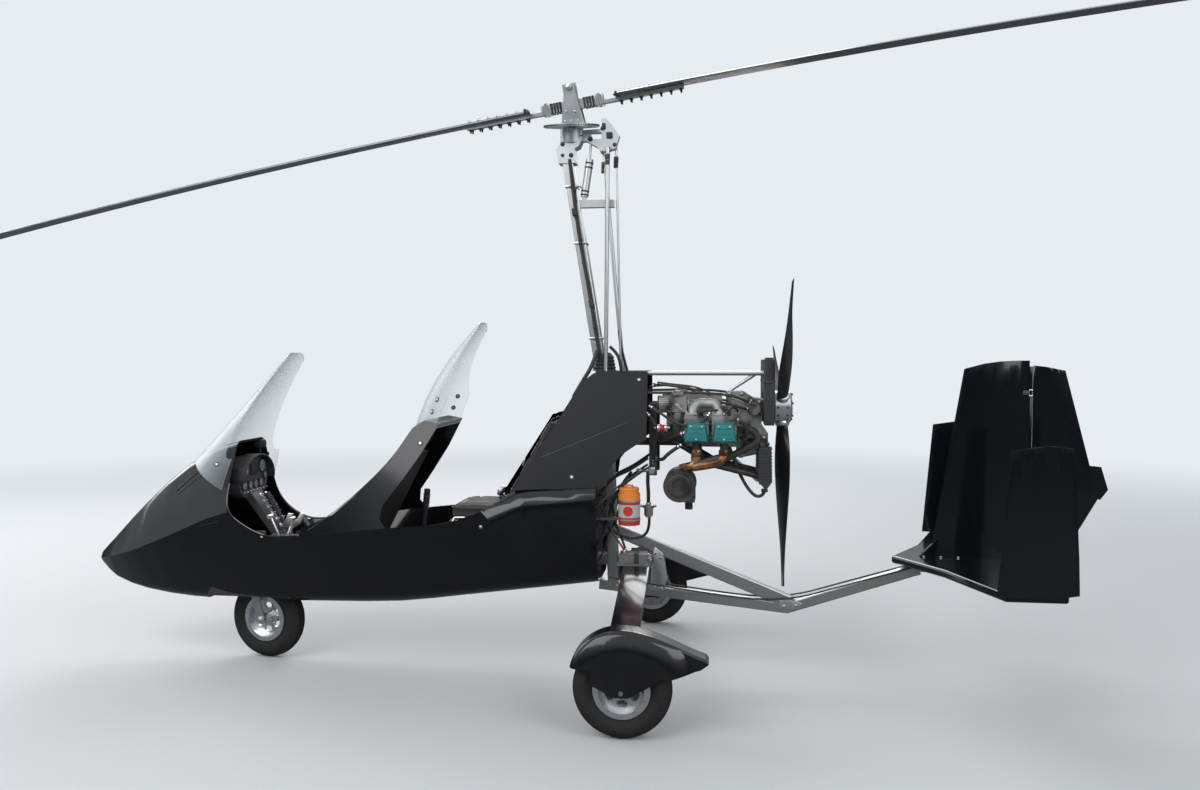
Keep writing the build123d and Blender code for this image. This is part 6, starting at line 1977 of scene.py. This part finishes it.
# brake caliper on each leg: its body over the disc, its piston, and the arm that holds it
caliper = [
    block((0.427, -0.808, 0.268), (0.050, 0.026, 0.062), 0.005),
    across(0.422, 0.262, -0.794, -0.786, 0.014, 0.002, 24),
    bar((0.427, -0.796, 0.290), (0.372, -0.790, 0.330), 0.012, 0.020, 0.003),
]
piece("brake_calipers", "airframe", cast_alloy, *both_sides(*caliper), slot="cast_alloy")
print("keel with", len(gusset_bolts), "bolts")

# %% [markdown]
# The rudder hangs on two pins. Its hinge plates and the rod that closes the gap between them are
# small, but they tell the turning part from the fixed one.

# %% Tail details
HINGE_X = 2.204
pins = []
for z in (0.820, 1.400):
    pins.append(upright(HINGE_X, 0, z - 0.013, z + 0.013, 0.0034, 0.0006, 16))
    for side in SIDES:
        pins.append(block((2.178, side * 0.0125, z), (0.030, 0.002, 0.020), 0.001))
piece("hinge_pins", "airframe", dark_steel, *pins, slot="dark_steel")

# a round closing rod fills the hinge line, broken at the hinges, and turns with the rudder
ROD_RUNS = ((0.735, 0.804), (0.836, 1.384), (1.416, 1.524))
rods = [upright(HINGE_X, 0, low, high, 0.0072, 0.0006, 20) for low, high in ROD_RUNS]
piece("hinge_rods", "rudder", gloss_black, *rods, slot="gloss_black")

STABILISER_TOP = 0.6080
bolts = []
for x in (1.720, 1.800, 1.880):
    for y in (-0.018, 0.018):
        bolts.append(upright(x, y, STABILISER_TOP, STABILISER_TOP + 0.0060, 0.007))
for x in (1.960, 2.060):
    for y in (-0.690, 0.690):
        bolts.append(upright(x, y, STABILISER_TOP, STABILISER_TOP + 0.0055, 0.006))
piece("stabiliser_bolts", "airframe", brushed_steel, *bolts, slot="brushed_steel")

# rudder pushrod horn, and the two cables along the keel and boom
horn_corners = ((2.230, -0.018, 0.760), (2.285, -0.018, 0.745), (2.285, -0.018, 0.790))
horn = plate(horn_corners, (0, -0.004, 0), 0.001)
piece("rudder_horn", "rudder", satin_aluminium, horn)
CABLE_LINE = (
    (0.200, -0.032, 0.470), (0.700, -0.033, 0.400), (1.060, -0.033, 0.372), (1.400, -0.033, 0.480),
    (1.720, -0.034, 0.575),
)
piece("rudder_cables", "airframe", black_matte, *both_sides(hose(CABLE_LINE, 0.004, 2)))
print("tail details with", len(bolts), "bolts")

# %% [markdown]
# The nose wheel's fork carries the axle nuts with their washers, and two bolts at its crown. They
# are built unturned and straight ahead, and the fork's own matrix then turns them.

# %% Nose fork details
fork_parts = []
for side in SIDES:
    fork_parts.append(across(TRAIL, AXLE_HEIGHT, side * 0.0745, side * 0.0830, 0.017, 0.002))
    fork_parts.append(across(TRAIL, AXLE_HEIGHT, side * 0.0745, side * 0.0765, 0.021, 0.0008, 28))
    fork_parts.append(upright(0.0, side * 0.040, 0.452, 0.460, 0.009, 0.0012))
piece("fork_nuts", "nose_gear", silver_alloy, *all_placed(fork_parts, FORK), slot="silver_alloy")
print("nose fork with", len(fork_parts), "nuts and washers")
